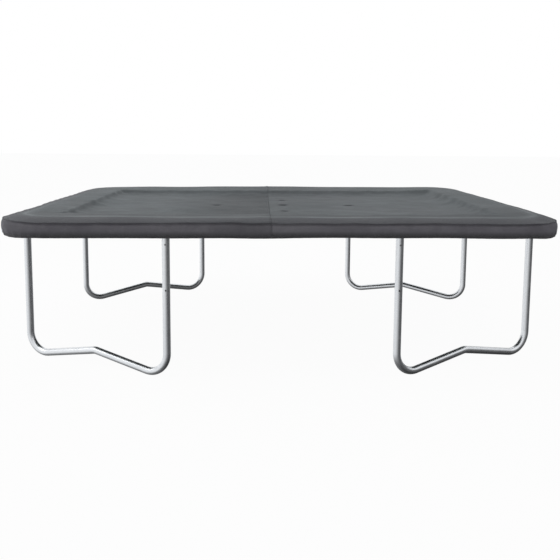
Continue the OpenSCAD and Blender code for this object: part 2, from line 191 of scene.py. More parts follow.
def ripple(x, y, wavelength, seed, count=14, across=None):
    """A smooth random undulation of the plan, about -1 to 1. Its folds run square to across, if given."""
    rng = np.random.default_rng(seed)
    total = np.zeros(np.broadcast(x, y).shape)
    for _ in range(count):
        angle = rng.uniform(0, 2 * math.pi)
        if across is not None:
            angle = math.atan2(across[1], across[0]) + rng.uniform(-0.35, 0.35)
        wave = 2 * math.pi / (wavelength * rng.uniform(0.65, 1.6))
        phase = rng.uniform(0, 2 * math.pi)
        total += np.sin(wave * (x * math.cos(angle) + y * math.sin(angle)) + phase)
    return total / math.sqrt(count)


# ---------------------------------------------------------------- meshes

def mesh_object(name, verts, faces, material, uvs=None, flat=False):
    """A smooth-shaded object. uvs, where given, is one (u, v) in metres for each vertex."""
    mesh = bpy.data.meshes.new(name)
    mesh.from_pydata([tuple(map(float, v)) for v in verts], [], [tuple(map(int, f)) for f in faces])
    if not flat:
        mesh.polygons.foreach_set("use_smooth", [True] * len(mesh.polygons))
    if uvs is not None:
        layer = mesh.uv_layers.new(name="cloth")
        corners = np.zeros(len(mesh.loops), np.int32)
        mesh.loops.foreach_get("vertex_index", corners)
        layer.data.foreach_set("uv", np.asarray(uvs, np.float32)[corners].ravel())
    mesh.materials.append(material)
    mesh.update()
    made = bpy.data.objects.new(name, mesh)
    bpy.context.scene.collection.objects.link(made)
    return made


def settle(made, body, slot, *replaced):
    """Puts a piece on its body, in place of the CAD nodes that it replaces. Its slot is not used."""
    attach(made, body)
    for node in replaced:
        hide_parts(node)
    return made


def grid_faces(rows, columns, closed_rows=False, closed_columns=False, keep=None):
    """Quads of a grid whose vertex (i, j) is number i * columns + j."""
    i = np.arange(rows if closed_rows else rows - 1)
    j = np.arange(columns if closed_columns else columns - 1)
    i, j = np.meshgrid(i, j, indexing="ij")
    if keep is not None:
        i, j = i[keep], j[keep]
    i, j = i.ravel(), j.ravel()
    i2, j2 = (i + 1) % rows, (j + 1) % columns
    return np.stack([i * columns + j, i * columns + j2, i2 * columns + j2, i2 * columns + j], axis=1)


def used_only(verts, faces, uvs):
    """Leaves out the vertices that no face uses."""
    used, faces = np.unique(faces, return_inverse=True)
    return verts[used], faces.reshape(-1, 4), uvs[used]


def thicken(made, thickness, offset=-1):
    """Gives a sheet its thickness, to the inside with offset -1."""
    solid = made.modifiers.new("thickness", "SOLIDIFY")
    solid.thickness = thickness
    solid.offset = offset
    return made


def tube_rings(path, radius, sides, closed=False):
    """Rings of vertices round a 3-D path, turned as little as possible from one to the next."""
    path = np.asarray(path, float)
    ahead = np.roll(path, -1, axis=0) if closed else np.vstack([path[1:], 2 * path[-1] - path[-2]])
    behind = np.roll(path, 1, axis=0) if closed else np.vstack([2 * path[0] - path[1], path[:-1]])
    forward = ahead - behind
    forward /= np.linalg.norm(forward, axis=1)[:, None]
    seed = np.array([0.0, 0.0, 1.0]) if abs(forward[0][2]) < 0.9 else np.array([1.0, 0.0, 0.0])
    rings = []
    normal = seed - forward[0] * (seed @ forward[0])
    for centre, direction in zip(path, forward):
        normal = normal - direction * (normal @ direction)
        normal /= np.linalg.norm(normal)
        side = np.cross(direction, normal)
        angles = 2 * math.pi * np.arange(sides) / sides
        rings.append(centre + radius * (np.outer(np.cos(angles), normal) + np.outer(np.sin(angles), side)))
    return np.vstack(rings)


def tube_mesh(path, radius, sides, closed=False):
    """Vertices and faces of a round wire along a path, with a fan of quads over each open end."""
    verts = tube_rings(path, radius, sides, closed)
    count = len(path)
    faces = grid_faces(count, sides, closed_rows=closed, closed_columns=True).tolist()
    if not closed:
        faces.append(list(range(sides))[::-1])
        last = (count - 1) * sides
        faces.append([last + k for k in range(sides)])
    return verts, faces


def copies(verts, faces, placements):
    """One mesh with a copy of the given one for each 4x4 matrix."""
    all_verts, all_faces = [], []
    for number, placement in enumerate(placements):
        matrix = np.array(placement)
        all_verts.append(verts @ matrix[:3, :3].T + matrix[:3, 3])
        shift = number * len(verts)
        all_faces += [[k + shift for k in face] for face in faces]
    return np.vstack(all_verts), all_faces


def bands(name, path, half_width, spots, material, thickness, offset):
    """A band of cloth along a path of (x, z) points, with a copy at each spot."""
    across = np.linspace(-half_width, half_width, 5)
    verts = np.array([(x, y, z) for x, z in path for y in across])
    uvs = np.array([(along, y) for along in lengths_along(path) for y in across])
    verts, faces = copies(verts, grid_faces(len(path), len(across)).tolist(), spots)
    made = mesh_object(name, verts, faces, material, np.tile(uvs, (len(spots), 1)))
    return thicken(made, thickness, offset)


def stitch_row(name, points, ups, material, body, pitch=0.0065, length=0.0048, width=0.0011, rise=0.0007):
    """Thread along a line of points on a surface, one rounded lozenge for each stitch."""
    points, ups = np.asarray(points, float), np.asarray(ups, float)
    steps = np.linalg.norm(np.diff(points, axis=0), axis=1)
    along = np.concatenate([[0], np.cumsum(steps)])
    centres = np.arange(pitch / 2, along[-1], pitch)

    def at(distance, values):
        return np.stack([np.interp(distance, along, values[:, k]) for k in range(3)], axis=1)

    middle, up = at(centres, points), at(centres, ups)
    forward = at(centres + length / 2, points) - at(centres - length / 2, points)
    forward /= np.maximum(np.linalg.norm(forward, axis=1), 1e-9)[:, None]
    up = up - forward * np.sum(up * forward, axis=1)[:, None]
    up /= np.linalg.norm(up, axis=1)[:, None]
    side = np.cross(forward, up)
    corners = [(-0.5, 0, -0.2), (-0.2, -0.5, 0.7), (0.2, -0.5, 0.7), (0.5, 0, -0.2),
               (0.2, 0.5, 0.7), (-0.2, 0.5, 0.7), (-0.2, 0, 1.0), (0.2, 0, 1.0)]
    shape = np.array(corners) * (length, width, rise)
    verts = (middle[:, None] + shape[None, :, 0:1] * forward[:, None] + shape[None, :, 1:2] * side[:, None]
             + shape[None, :, 2:3] * up[:, None]).reshape(-1, 3)
    base = [(6, 1, 0), (6, 7, 2, 1), (7, 3, 2), (5, 6, 0), (5, 4, 7, 6), (4, 3, 7), (1, 2, 3, 4, 5, 0)]
    faces = [[k + 8 * n for k in face] for n in range(len(centres)) for face in base]
    made = mesh_object(name, verts, faces, material)
    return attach(made, body)


# ---------------------------------------------------------------- materials

class Graph:
    """Shorthand for a shader's nodes. A value is a number, a vector, a colour or another node's output."""

    def __init__(self, tree):
        self.tree = tree

    def feed(self, socket, value):
        if isinstance(value, bpy.types.NodeSocket):
            self.tree.links.new(value, socket)
        elif socket.type == "RGBA":
            socket.default_value = (*value, 1)
        else:
            socket.default_value = value

    def node(self, kind, inputs=None, **settings):
        """The outputs of a new node."""
        made = self.tree.nodes.new("ShaderNode" + kind)
        for key, value in settings.items():
            setattr(made, key, value)
        for key, value in (inputs or {}).items():
            self.feed(made.inputs[key], value)
        return made.outputs

    def place(self, scale=(1, 1, 1), source="Object"):
        """Object or UV coordinates, scaled. Object coordinates stay with the piece as it moves."""
        return self.node("Mapping", {"Vector": self.node("TexCoord")[source], "Scale": scale})["Vector"]

    def axes(self, vector=None):
        """The X, Y and Z of a vector, or of the object coordinates."""
        return self.node("SeparateXYZ", {"Vector": self.place() if vector is None else vector})

    def noise(self, vector, scale, detail=3.0, roughness=0.55):
        return self.node("TexNoise", {"Vector": vector, "Scale": scale, "Detail": detail,
                                      "Roughness": roughness})["Fac"]

    def span(self, value, low, high, from_low=0.25, from_high=0.75):
        """value from from_low..from_high to low..high."""
        return self.node("MapRange", {"Value": value, "From Min": from_low, "From Max": from_high,
                                      "To Min": low, "To Max": high})["Result"]

    def between(self, value, share, rise, fall):
        """share where the value lies between two edges, fading to 0 over the ranges rise and fall."""
        return self.times(self.span(value, 0.0, share, *rise), self.span(value, 1.0, 0.0, *fall))

    def math(self, operation, *values):
        return self.node("Math", dict(enumerate(values)), operation=operation)["Value"]

    def times(self, a, b):
        return self.math("MULTIPLY", a, b)

    def plus(self, a, b):
        return self.math("ADD", a, b)

    def minus(self, a, b):
        return self.math("SUBTRACT", a, b)

    def ramp(self, value, stops):
        """A colour ramp through (position, (r, g, b)) stops."""
        colour = self.node("ValToRGB", {"Fac": value})["Color"]
        for point, (position, rgb) in zip(colour.node.color_ramp.elements, stops):
            point.position = position
            point.color = (*rgb, 1)
        return colour

    def mix(self, share, a, b, blend="MIX"):
        return self.node("Mix", {0: share, 6: a, 7: b}, data_type="RGBA", blend_type=blend)[2]

    def bump(self, height, distance, strength=1.0, below=None):
        inputs = {"Height": height, "Distance": distance, "Strength": strength}
        if below is not None:
            inputs["Normal"] = below
        return self.node("Bump", inputs)["Normal"]

    def weave(self, pitch):
        """A plain weave: threads a pitch apart along both axes of the UVs, over and under in turn."""
        parts = self.axes(self.place(source="UV"))
        waves = [self.math("SINE", self.times(parts[axis], math.pi / pitch)) for axis in ("X", "Y")]
        return self.plus(self.times(*waves), 0.5)


class Paint(Graph):
    """A material. Sockets of its shader are set or linked by name, with _ for a space."""

    def __init__(self, name, **sockets):
        self.material = bpy.data.materials.new(name)
        self.material.use_nodes = True
        super().__init__(self.material.node_tree)
        self.finish(**sockets)

    def finish(self, **sockets):
        shader = self.tree.nodes["Principled BSDF"]
        for key, value in sockets.items():
            self.feed(shader.inputs[key.replace("_", " ")], value)
        return self.material


def paler(colour, factor):
    return tuple(min(1.0, c * factor) for c in colour)


def galvanised(name, light, dark, rough):
    """Hot-dip zinc: soft spangle, drawing marks along the tube and a dull film in patches."""
    g = Paint(name, Metallic=1.0)
    here = g.place()
    spangle = g.node("TexVoronoi", {"Vector": here, "Scale": 140.0, "Randomness": 1.0})["Color"]
    crystals = g.node("SeparateColor", {"Color": spangle})["Red"]
    film = g.noise(here, 9.0, 5.0, 0.6)
    streaks = g.noise(g.place((260.0, 260.0, 5.0)), 1.0, 2.0)
    tone = g.plus(g.times(crystals, 0.22), g.times(film, 0.8))
    worn = g.plus(g.span(film, rough - 0.07, rough + 0.12), g.times(crystals, 0.05))
    marks = g.bump(streaks, 0.00004)
    return g.finish(Base_Color=g.ramp(tone, [(0.15, dark), (0.8, light)]), Roughness=worn,
                    Normal=g.bump(crystals, 0.00003, below=marks))


def zinc_wire(name, light, dark, rough):
    """Bright zinc plate on drawn wire and small screws."""
    g = Paint(name, Metallic=1.0)
    here = g.place()
    return g.finish(Base_Color=g.ramp(g.noise(here, 45.0, 4.0), [(0.3, dark), (0.7, light)]),
                    Roughness=g.span(g.noise(here, 220.0), rough - 0.06, rough + 0.1),
                    Normal=g.bump(g.noise(here, 900.0, 2.0), 0.00003))


def outside_core(g):
    """r as a shader value."""
    parts = g.axes()
    gaps = [g.minus(g.math("ABSOLUTE", parts[axis]), half) for axis, half in (("X", CORE_X), ("Y", CORE_Y))]
    squares = [g.math("POWER", g.math("MAXIMUM", gap, 0.0), 2.0) for gap in gaps]
    within = g.math("MINIMUM", g.math("MAXIMUM", *gaps), 0.0)
    return g.plus(g.math("SQRT", g.plus(*squares)), within)


def near_holes(g, reach):
    """1 at a drain hole's middle and 0 from reach outwards, as a shader value."""
    nearest = None
    for hole_x, hole_y in HOLES:
        away = g.node("Mapping", {"Vector": g.place(), "Location": (-hole_x, -hole_y, 0.0),
                                  "Scale": (1.0, 1.0, 0.0)})["Vector"]
        length = g.node("VectorMath", {0: away}, operation="LENGTH")["Value"]
        nearest = length if nearest is None else g.math("MINIMUM", nearest, length)
    return g.span(nearest, 1.0, 0.0, reach * 0.4, reach)


def top_tones_and_painted_light(g, base, pale, deep):
    """A painted highlight along the ridge over the rails, painted light over the back pad, and a paler right
    half.
    Painted shade outside the ridge, on the front pad and beside the seam. Round the drain holes, dirt that the
    water leaves and painted shade of the dips there."""
    r = outside_core(g)
    parts = g.axes()
    x, y = parts["X"], parts["Y"]
    patches = g.span(g.noise(g.place(), 4.5, 5.0), 0.1, 1.0, 0.4, 0.65)
    patches = g.times(patches, g.span(y, 1.15, 0.0, -CORE_Y, CORE_Y))
    # Painted highlight along the ridge over the rails, in patches that fade towards the back.
    ridge = g.span(g.math("ABSOLUTE", g.minus(r, RIDGE_R)), 0.58, 0.0, 0.0, 0.022)
    base = g.mix(g.times(ridge, patches), base, pale)
    base = g.mix(g.between(x, 0.07, (0.25, 0.55), (1.3, 1.7)), base, pale)
    # Painted light over the back pad, from its inner slope to past the ridge.
    at_back = g.times(g.between(r, 0.14, (-0.12, -0.04), (0.20, 0.24)), g.span(y, 0.0, 1.0, 0.4, 0.8))
    base = g.mix(at_back, base, pale)
    # Painted shade where the cover rolls down outside the ridge.
    base = g.mix(g.span(r, 0.0, 0.75, RIDGE_R + 0.012, RIDGE_R + 0.045), base, deep)
    # Painted shade on the front pad's inner strip.
    at_front = g.times(g.between(r, 0.75, (-0.06, 0.03), (0.12, 0.165)), g.span(y, 1.0, 0.0, -0.9, -0.5))
    base = g.mix(at_front, base, TOP_SHADE)
    # Painted shade of the valley beside the seam, mostly on its left and over the mat.
    at_seam = (SEAM_X, SEAM_X + 0.008)
    beside_seam = g.plus(g.between(x, 1.0, (-0.75, -0.3), at_seam), g.between(x, 0.3, at_seam, (0.1, 0.5)))
    on_mat = g.span(r, 1.0, 0.1, -0.13, -0.03)
    base = g.mix(g.times(beside_seam, on_mat), base, TOP_SHADE)
    # Dirt round the drain holes, and painted shade of the dips there.
    return g.mix(g.times(near_holes(g, 0.054), 0.94), base, DRAIN_DIRT_AND_SHADE)


def skirt_tones_and_painted_shade(g, base, pale, deep):
    """Darker towards the foot, painted shade on the left end, and beside the seam a deeper left side
    and a paler right one.
    """
    x = g.axes()["X"]
    at_seam = (SEAM_X, SEAM_X + 0.012)
    base = g.mix(g.between(x, 0.5, at_seam, (0.1, 0.4)), base, pale)
    base = g.mix(g.between(x, 0.4, (-0.5, -0.2), at_seam), base, deep)
    # Painted shade on the left end of the skirt.
    base = g.mix(g.span(x, 0.75, 0.0, -1.53, -1.25), base, deep)
    up = g.axes(g.place(source="UV"))["Y"]
    return g.mix(g.span(up, 1.0, 0.0, -0.052, -0.036), base, deep)


def cover_cloth(name, light, dark, tint, rough, sheen, tones_and_painted_light, pale, deep):
    """Coated polyester: a fine plain weave, soft mottling, pale dust, and the tones and painted light and
    shade that the given function adds.
    """
    g = Paint(name, Sheen_Weight=sheen, Sheen_Roughness=0.45, Sheen_Tint=(0.85, 0.9, 1.0),
              Specular_IOR_Level=0.14)
    plan = g.place()
    mottle = g.noise(plan, 3.1, 7.0, 0.66)
    base = g.ramp(mottle, [(0.32, dark), (0.66, light)])
    base = g.mix(g.span(g.noise(plan, 0.9, 2.0), 0.0, 0.55, 0.42, 0.7), base, tint)
    dust = g.span(g.noise(g.place((1.0, 1.6, 1.0)), 5.0, 8.0, 0.72), 0.0, 0.34, 0.46, 0.78)
    # The given function paints light and shade into the colour, besides its other tones.
    base = tones_and_painted_light(g, g.mix(dust, base, paler(light, 1.9)), pale, deep)
    threads = g.weave(0.0011)
    worn = g.span(threads, 0.9, 1.06, 0.0, 1.0)
    worn = g.node("CombineColor", {"Red": worn, "Green": worn, "Blue": worn})["Color"]
    creases = g.bump(g.noise(plan, 26.0, 6.0, 0.62), 0.0034, 0.7)
    return g.finish(Base_Color=g.mix(1.0, base, worn, "MULTIPLY"),
                    Roughness=g.span(mottle, rough - 0.08, rough + 0.1),
                    Normal=g.bump(threads, 0.00012, 0.7, below=creases))


def webbing_cloth(name, light, dark, pitch, rough=0.75):
    """Woven tape: bold ribs across it and a softer warp along it."""
    g = Paint(name, Sheen_Weight=0.15, Specular_IOR_Level=0.3)
    threads = g.weave(pitch)
    shade = g.plus(g.times(threads, 0.6), g.times(g.noise(g.place(), 30.0, 4.0), 0.5))
    return g.finish(Base_Color=g.ramp(shade, [(0.15, dark), (0.85, light)]),
                    Roughness=g.span(g.noise(g.place(), 60.0), rough - 0.08, rough + 0.1),
                    Normal=g.bump(threads, 0.0004, 0.9))


def mat_mesh_cloth(name, light, dark):
    """The jumping mat's polypropylene: flat glossy tapes in a close plain weave, with uneven rows."""
    g = Paint(name, Specular_IOR_Level=0.4, Sheen_Weight=0.1)
    threads = g.weave(0.0016)
    rows = g.noise(g.place((3.0, 260.0, 1.0)), 1.0, 2.0)
    shade = g.plus(g.times(threads, 0.45), g.times(rows, 0.7))
    return g.finish(Base_Color=g.ramp(shade, [(0.2, dark), (0.9, light)]), Roughness=g.span(rows, 0.42, 0.62),
                    Normal=g.bump(threads, 0.0003, 0.8))


def pad_vinyl(name, light, dark, scuff):
    """PVC-coated cloth with the scrim showing faintly through it and lighter scuffs."""
    g = Paint(name, Specular_IOR_Level=0.5, Coat_Weight=0.12, Coat_Roughness=0.35)
    here = g.place()
    fade = g.noise(here, 3.0, 5.0, 0.6)
    scuffs = g.span(g.noise(g.place((1.0, 4.0, 1.0)), 26.0, 8.0, 0.75), 0.0, 0.35, 0.58, 0.8)
    grain = g.bump(g.noise(here, 420.0, 3.0), 0.00025, 0.6)
    return g.finish(Base_Color=g.mix(scuffs, g.ramp(fade, [(0.3, dark), (0.75, light)]), scuff),
                    Roughness=g.span(fade, 0.36, 0.52),
                    Normal=g.bump(g.weave(0.0032), 0.00018, 0.5, below=grain))


def foam_cells(name, light, dark):
    """Closed-cell foam."""
    g = Paint(name, Roughness=0.85, Specular_IOR_Level=0.2)
    cells = g.node("TexVoronoi", {"Vector": g.place(), "Scale": 420.0})["Distance"]
    return g.finish(Base_Color=g.ramp(cells, [(0.0, dark), (0.6, light)]), Normal=g.bump(cells, 0.0005, 0.7))


def moulded_plastic(name, colour, rough):
    """Moulded plastic with a fine spark-eroded grain."""
    g = Paint(name, Specular_IOR_Level=0.45)
    here = g.place()
    return g.finish(Base_Color=g.ramp(g.noise(here, 60.0), [(0.3, colour), (0.75, paler(colour, 1.7))]),
                    Roughness=g.span(g.noise(here, 300.0), rough - 0.06, rough + 0.08),
                    Normal=g.bump(g.noise(here, 1600.0, 2.0), 0.00006))


def twisted_thread(name, colour):
    """Twisted polyester thread."""
    g = Paint(name, Roughness=0.6, Sheen_Weight=0.2)
    twist = g.node("TexWave", {"Vector": g.place(), "Scale": 700.0, "Distortion": 1.0})["Fac"]
    return g.finish(Base_Color=g.ramp(twist, [(0.2, colour), (0.9, paler(colour, 1.6))]),
                    Normal=g.bump(twist, 0.00012, 0.6))


tube_finish = galvanised("galvanised tube", (0.78, 0.79, 0.80), (0.60, 0.61, 0.63), 0.27)
wire_finish = zinc_wire("zinc wire", (0.72, 0.73, 0.75), (0.55, 0.56, 0.58), 0.28)
screw_finish = zinc_wire("screw plate", (0.30, 0.30, 0.31), (0.17, 0.17, 0.18), 0.38)
hem_finish = webbing_cloth("hem casing", (0.082, 0.081, 0.085), (0.044, 0.043, 0.046), 0.0022)
mat_finish = mat_mesh_cloth("mat weave", (0.035, 0.036, 0.04), (0.006, 0.006, 0.007))
tape_finish = webbing_cloth("mat webbing", (0.055, 0.055, 0.058), (0.016, 0.016, 0.018), 0.0024)
strap_finish = webbing_cloth("elastic band", (0.06, 0.06, 0.062), (0.014, 0.014, 0.015), 0.0018)
vinyl_finish = pad_vinyl("pad vinyl", (0.024, 0.125, 0.06), (0.012, 0.082, 0.038), (0.10, 0.22, 0.14))
foam_finish = foam_cells("pad foam", (0.86, 0.86, 0.83), (0.6, 0.6, 0.57))
eyelet_finish = moulded_plastic("eyelet plastic", (0.012, 0.012, 0.013), 0.42)
grey_thread = twisted_thread("grey thread", (0.10, 0.10, 0.11))
pale_thread = twisted_thread("pale thread", (0.32, 0.33, 0.33))


# ---------------------------------------------------------------- the weather cover

CLOTH = 0.0008                     # shown thickness of the cover's cloth
LAP = 0.007                        # half the overlap at the centre seam
RIM_R = CREASE_R + 0.0035          # the top's folded edge, which stands a little over the skirt
EYELET_R = 0.011                   # outer radius of a drain eyelet's collar
EYELETS_LOW, EYELETS_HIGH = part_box("drain_eyelets")
HOLE_X = [EYELETS_LOW.x + EYELET_R, (EYELETS_LOW.x + EYELETS_HIGH.x) / 2, EYELETS_HIGH.x - EYELET_R]
HOLE_Y = EYELETS_HIGH.y - EYELET_R
HOLES = [(HOLE_X[0], 0.0), (HOLE_X[1], 0.0), (HOLE_X[2], 0.0), (HOLE_X[1], -HOLE_Y), (HOLE_X[1], HOLE_Y)]
HOLE_R = 0.0062
HOLE_CELL = 0.0075                 # spacing of the grid lines beside a hole's middle
CORD_SIDES = 8                     # of the elastic and of the pads' piping
FINE_OUT = 0.2                     # how far outside the core's outline the top's grid is fine, over the pads
FINE_IN = 0.16                     # and how far inside it, where the cover slopes down to the mat
RIDGE_R = 0.185                    # where the cover is highest, over the rails
FLAP_TOP_Z = CREASE_Z - 0.0565     # the casing's flap, turned up outside the skirt
FLAP_SEAM_Z = CREASE_Z - 0.0585    # and the row of stitches along it

# Painted shade, on the front pad's inner strip and beside the seam.
TOP_SHADE = (0.057, 0.063, 0.066)
# Dirt round the drain holes, together with painted shade of the dips there.
DRAIN_DIRT_AND_SHADE = (0.020, 0.020, 0.022)
# Top and skirt are one cloth in lit and shaded copies: as painted light, the skirt's colours are set paler and
# more purple than the top's. The top's pale colour paints its highlight and light, its deep one its shade.
top_finish = cover_cloth(
    "cover top cloth", light=(0.132, 0.147, 0.152), dark=(0.066, 0.076, 0.079), tint=(0.094, 0.095, 0.103),
    rough=0.58, sheen=0.04, tones_and_painted_light=top_tones_and_painted_light, pale=(0.27, 0.285, 0.29), deep=(0.084, 0.082, 0.090))
skirt_finish = cover_cloth(
    "cover skirt cloth", light=(0.192, 0.184, 0.199), dark=(0.132, 0.126, 0.141), tint=(0.145, 0.138, 0.155),
    rough=0.66, sheen=0.08, tones_and_painted_light=skirt_tones_and_painted_shade, pale=(0.215, 0.207, 0.222), deep=(0.105, 0.102, 0.110))


def crown_height(x, y):
    """The cover's height over the middle of the pads: highest at the back, lowest at the corners."""
    back = 0.0136 * smooth(0.2, 1.0, y) * np.exp(-((x - 0.12) / 1.15) ** 2)
    right = 0.0100 * smooth(0.6, 1.25, x) * smooth(-1.1, -0.4, y)
    corner = 0.0055 * smooth(0.55, 1.0, (np.abs(x) / 1.5) ** 4 * (np.abs(y) / 1.05) ** 4)
    return CROWN_Z - 0.001 + back + right - corner + 0.0017 * ripple(x, y, 0.62, 3)


def crease_wave(foot, out):
    """How far the crease between top and skirt wanders up and down round the cover."""
    x, y = edge_plan(foot, out)
    return 0.0021 * ripple(x, y, 0.62, 11) + 0.0009 * ripple(x, y, 0.14, 12)


def end_share(out):
    """0 along the long sides and 1 at the ends, where top and skirt make one round edge."""
    return smooth(0.2, 0.85, np.abs(out[..., 0]))


def droop(foot, out):
    """How much lower the hem hangs at the corners, most of all towards the ends, and along the left half."""
    corner = 0.3 + 0.7 * smooth(0.3, 0.8, np.abs(foot[..., 1]))
    left = 0.0044 * smooth(0.1, -0.2, foot[..., 0]) * (0.5 + 0.5 * np.abs(out[..., 1]))
    return 0.0105 * corner * smooth(0.12, 0.75, np.abs(out[..., 0])) + left


def rim_in(out, r):
    """How far the rim of the top is drawn in at the ends, to lie flush with the skirt."""
    return 0.0042 * end_share(out) * smooth(RIDGE_R, RIM_R, r)


def rim_move(foot, out):
    """How far the rim of the top moves up or down."""
    return crease_wave(foot, out) - 0.0035 * end_share(out)


def top_height(x, y, r, inner_r, wave):
    """The height of the cover's top. inner_r is r with its mitres rounded, and wave moves the crease."""
    crown = crown_height(x, y)
    fall = 0.0065 + 0.0095 * smooth(0.4, 0.8, y) * (1 - smooth(1.0, 1.3, np.abs(x)))
    inner_fall = fall * np.clip(1 - inner_r / RIDGE_R, 0, 1) ** 1.25
    q = np.clip((r - RIDGE_R) / (RIM_R - RIDGE_R), 0, 1)
    roll = (0.55 * q ** 1.7 + 0.45 * (1 - np.sqrt(1 - 0.97 * q * q))) / 0.922
    over_pad = crown - inner_fall - (crown - CREASE_Z - 0.0025) * roll + wave * smooth(RIDGE_R, RIM_R, r)
    floor = SAG_Z + 0.0005 + 0.0022 * ripple(x, y, 0.75, 5) + 0.0011 * ripple(x, y, 0.24, 6)
    depth = np.clip(-inner_r, 0, None)
    left_over = 0.42 * np.exp(-(depth / 0.017) ** 1.6) + 0.58 * np.exp(-(depth / 0.060) ** 1.25)
    hang = floor + (crown - fall - floor) * left_over
    height = np.where(inner_r < 0, hang, over_pad)
    return height + slope_folds(x, y, inner_r) + seam_puckers(x, y, inner_r) + drain_dips(x, y)


def slope_folds(x, y, r):
    """Short folds where the cover drops from the pads to the mat, each square to its own side."""
    window = smooth(-0.13, -0.035, r) * (1 - smooth(-0.01, 0.05, r))
    ends = smooth(-0.05, 0.05, (np.abs(x) - CORE_X) - (np.abs(y) - CORE_Y))
    along_y = ripple(x, y, 0.15, 21, across=(0, 1))
    along_x = ripple(x, y, 0.21, 22, across=(1, 0))
    return window * (0.0031 * ends * along_y + 0.0018 * (1 - ends) * along_x)


def seam_puckers(x, y, r):
    """Small gathers beside the centre seam, a valley along it, and a lifted spot on the front pad."""
    off = x - SEAM_X
    turns = y / 0.041 + 0.6 * ripple(y, 0 * y, 0.4, 31)
    gathers = 0.0008 * np.exp(-np.abs(off) / 0.045) * np.sin(2 * math.pi * turns)
    valley = -0.0022 * np.exp(-(off / 0.035) ** 2) * smooth(0.0, 0.08, -r)
    spot = 0.0024 * np.exp(-((off + 0.05) / 0.035) ** 2 - ((y + CORE_Y + 0.2) / 0.05) ** 2)
    return gathers + valley + spot


def drain_dips(x, y):
    """The cloth sinks a little at each drain hole, with creases that run out from it."""
    total = np.zeros_like(x)
    for number, (hole_x, hole_y) in enumerate(HOLES):
        dx, dy = x - hole_x, y - hole_y
        away = np.hypot(dx, dy)
        turn = np.arctan2(dy, dx)
        star = np.cos(5 * turn + number) * smooth(0.012, 0.03, away)
        total += 0.0006 * star * np.exp(-(away / 0.05) ** 2) - 0.0074 * np.exp(-(away / 0.021) ** 2)
    return total


def top_grid():
    """The plan grid of the whole top, with lines through the seam's lap and each drain hole."""
    def hole_lines(at):
        return [at - HOLE_CELL, at, at + HOLE_CELL]

    lap = [SEAM_X - LAP, SEAM_X, SEAM_X + LAP]
    def low_side(half):
        return [-half - RIM_R, -half - FINE_OUT, -half + FINE_IN]

    def high_side(half):
        return [half - FINE_IN, half + FINE_OUT, half + RIM_R]

    x_stops = [*low_side(CORE_X), *hole_lines(HOLE_X[0]), SEAM_X - 0.06, *lap, *hole_lines(HOLE_X[1]),
               *hole_lines(HOLE_X[2]), *high_side(CORE_X)]
    y_stops = [*low_side(CORE_Y), *hole_lines(-HOLE_Y), *hole_lines(0.0), *hole_lines(HOLE_Y),
               *high_side(CORE_Y)]
    rim, pad, middle, seam = 0.0055, 0.009, 0.013, 0.008
    whole = 1                      # wider than any gap, so that the gap stays one cell
    x_spacing = [rim, pad, middle, whole, whole, middle, seam, whole, whole, seam, whole, whole, middle,
                 whole, whole, middle, pad, rim]
    y_spacing = [rim, pad, middle, whole, whole, middle, whole, whole, middle, whole, whole, middle, pad, rim]
    return lines(x_stops, x_spacing), lines(y_stops, y_spacing)


def height_over(foot, out, r):
    """The cover's height over points given as in to_plan, outside the core."""
    r = r + rim_in(out, r)
    plan = foot + out * r[..., None]
    return top_height(plan[..., 0], plan[..., 1], r, r, rim_move(foot, out))


def round_holes(x, y):
    """Moves the eight grid points round each drain hole onto its circle. Returns which are a middle."""
    middle = np.zeros(x.shape, bool)
    reach = 1.3 * HOLE_CELL
    for hole_x, hole_y in HOLES:
        dx, dy = x - hole_x, y - hole_y
        near = (np.abs(dx) < reach) & (np.abs(dy) < reach)
        away = np.hypot(dx, dy)
        at_middle = near & (away <= 1e-6)
        ring = near & ~at_middle
        x[ring] = hole_x + dx[ring] / away[ring] * HOLE_R
        y[ring] = hole_y + dy[ring] / away[ring] * HOLE_R
        middle |= at_middle
    return middle


def surface_at(x, y):
    """The cover's height at plan points inside the straight sides, for what is fixed to it."""
    x, y = np.asarray(x, float), np.asarray(y, float)
    foot, out, r = to_plan(x, y)
    return top_height(x, y, r, np.where(r > 0, r, mitred_r(x, y)), rim_move(foot, out))


def over_lap(x):
    """1 where the left half lies over the right one, rising from 0 beside the seam."""
    return smooth(SEAM_X - 0.022, SEAM_X - LAP, x)


def make_cover_top():
    """The two halves of the top, lapped at the seam, with their rim folded under."""
    x_lines, y_lines = top_grid()
    v, u = np.meshgrid(y_lines, x_lines, indexing="ij")
    foot, out, r = to_plan(u, v)
    plan = plan_points(foot, out, r - rim_in(out, r))
    x, y = plan[..., 0].copy(), plan[..., 1].copy()
    hole = round_holes(x, y)
    z = top_height(x, y, r, np.where(r > 0, r, mitred_r(u, v)), rim_move(foot, out))
    in_hole = hole[:-1, :-1] | hole[1:, :-1] | hole[:-1, 1:] | hole[1:, 1:]
    cell_x = (u[:-1, :-1] + u[1:, 1:]) / 2
    rows, columns = u.shape
    uvs = np.stack([x, y], axis=-1).reshape(-1, 2)
    made = []
    halves = (("left", cell_x < SEAM_X + LAP, 0.0010), ("right", cell_x > SEAM_X - LAP, 0.0))
    for side, keep, lift in halves:
        verts = np.stack([x, y, z + lift * over_lap(x)], axis=-1).reshape(-1, 3)
        faces = grid_faces(rows, columns, keep=keep & ~in_hole)
        verts, faces, cloth_uvs = used_only(verts, faces, uvs)
        half = mesh_object(f"cover_top_{side}_cloth", verts, faces, top_finish, cloth_uvs)
        thicken(half, CLOTH)
        made.append(settle(half, "cover", "cover_top_cloth", f"cover_top_{side}"))
    return made


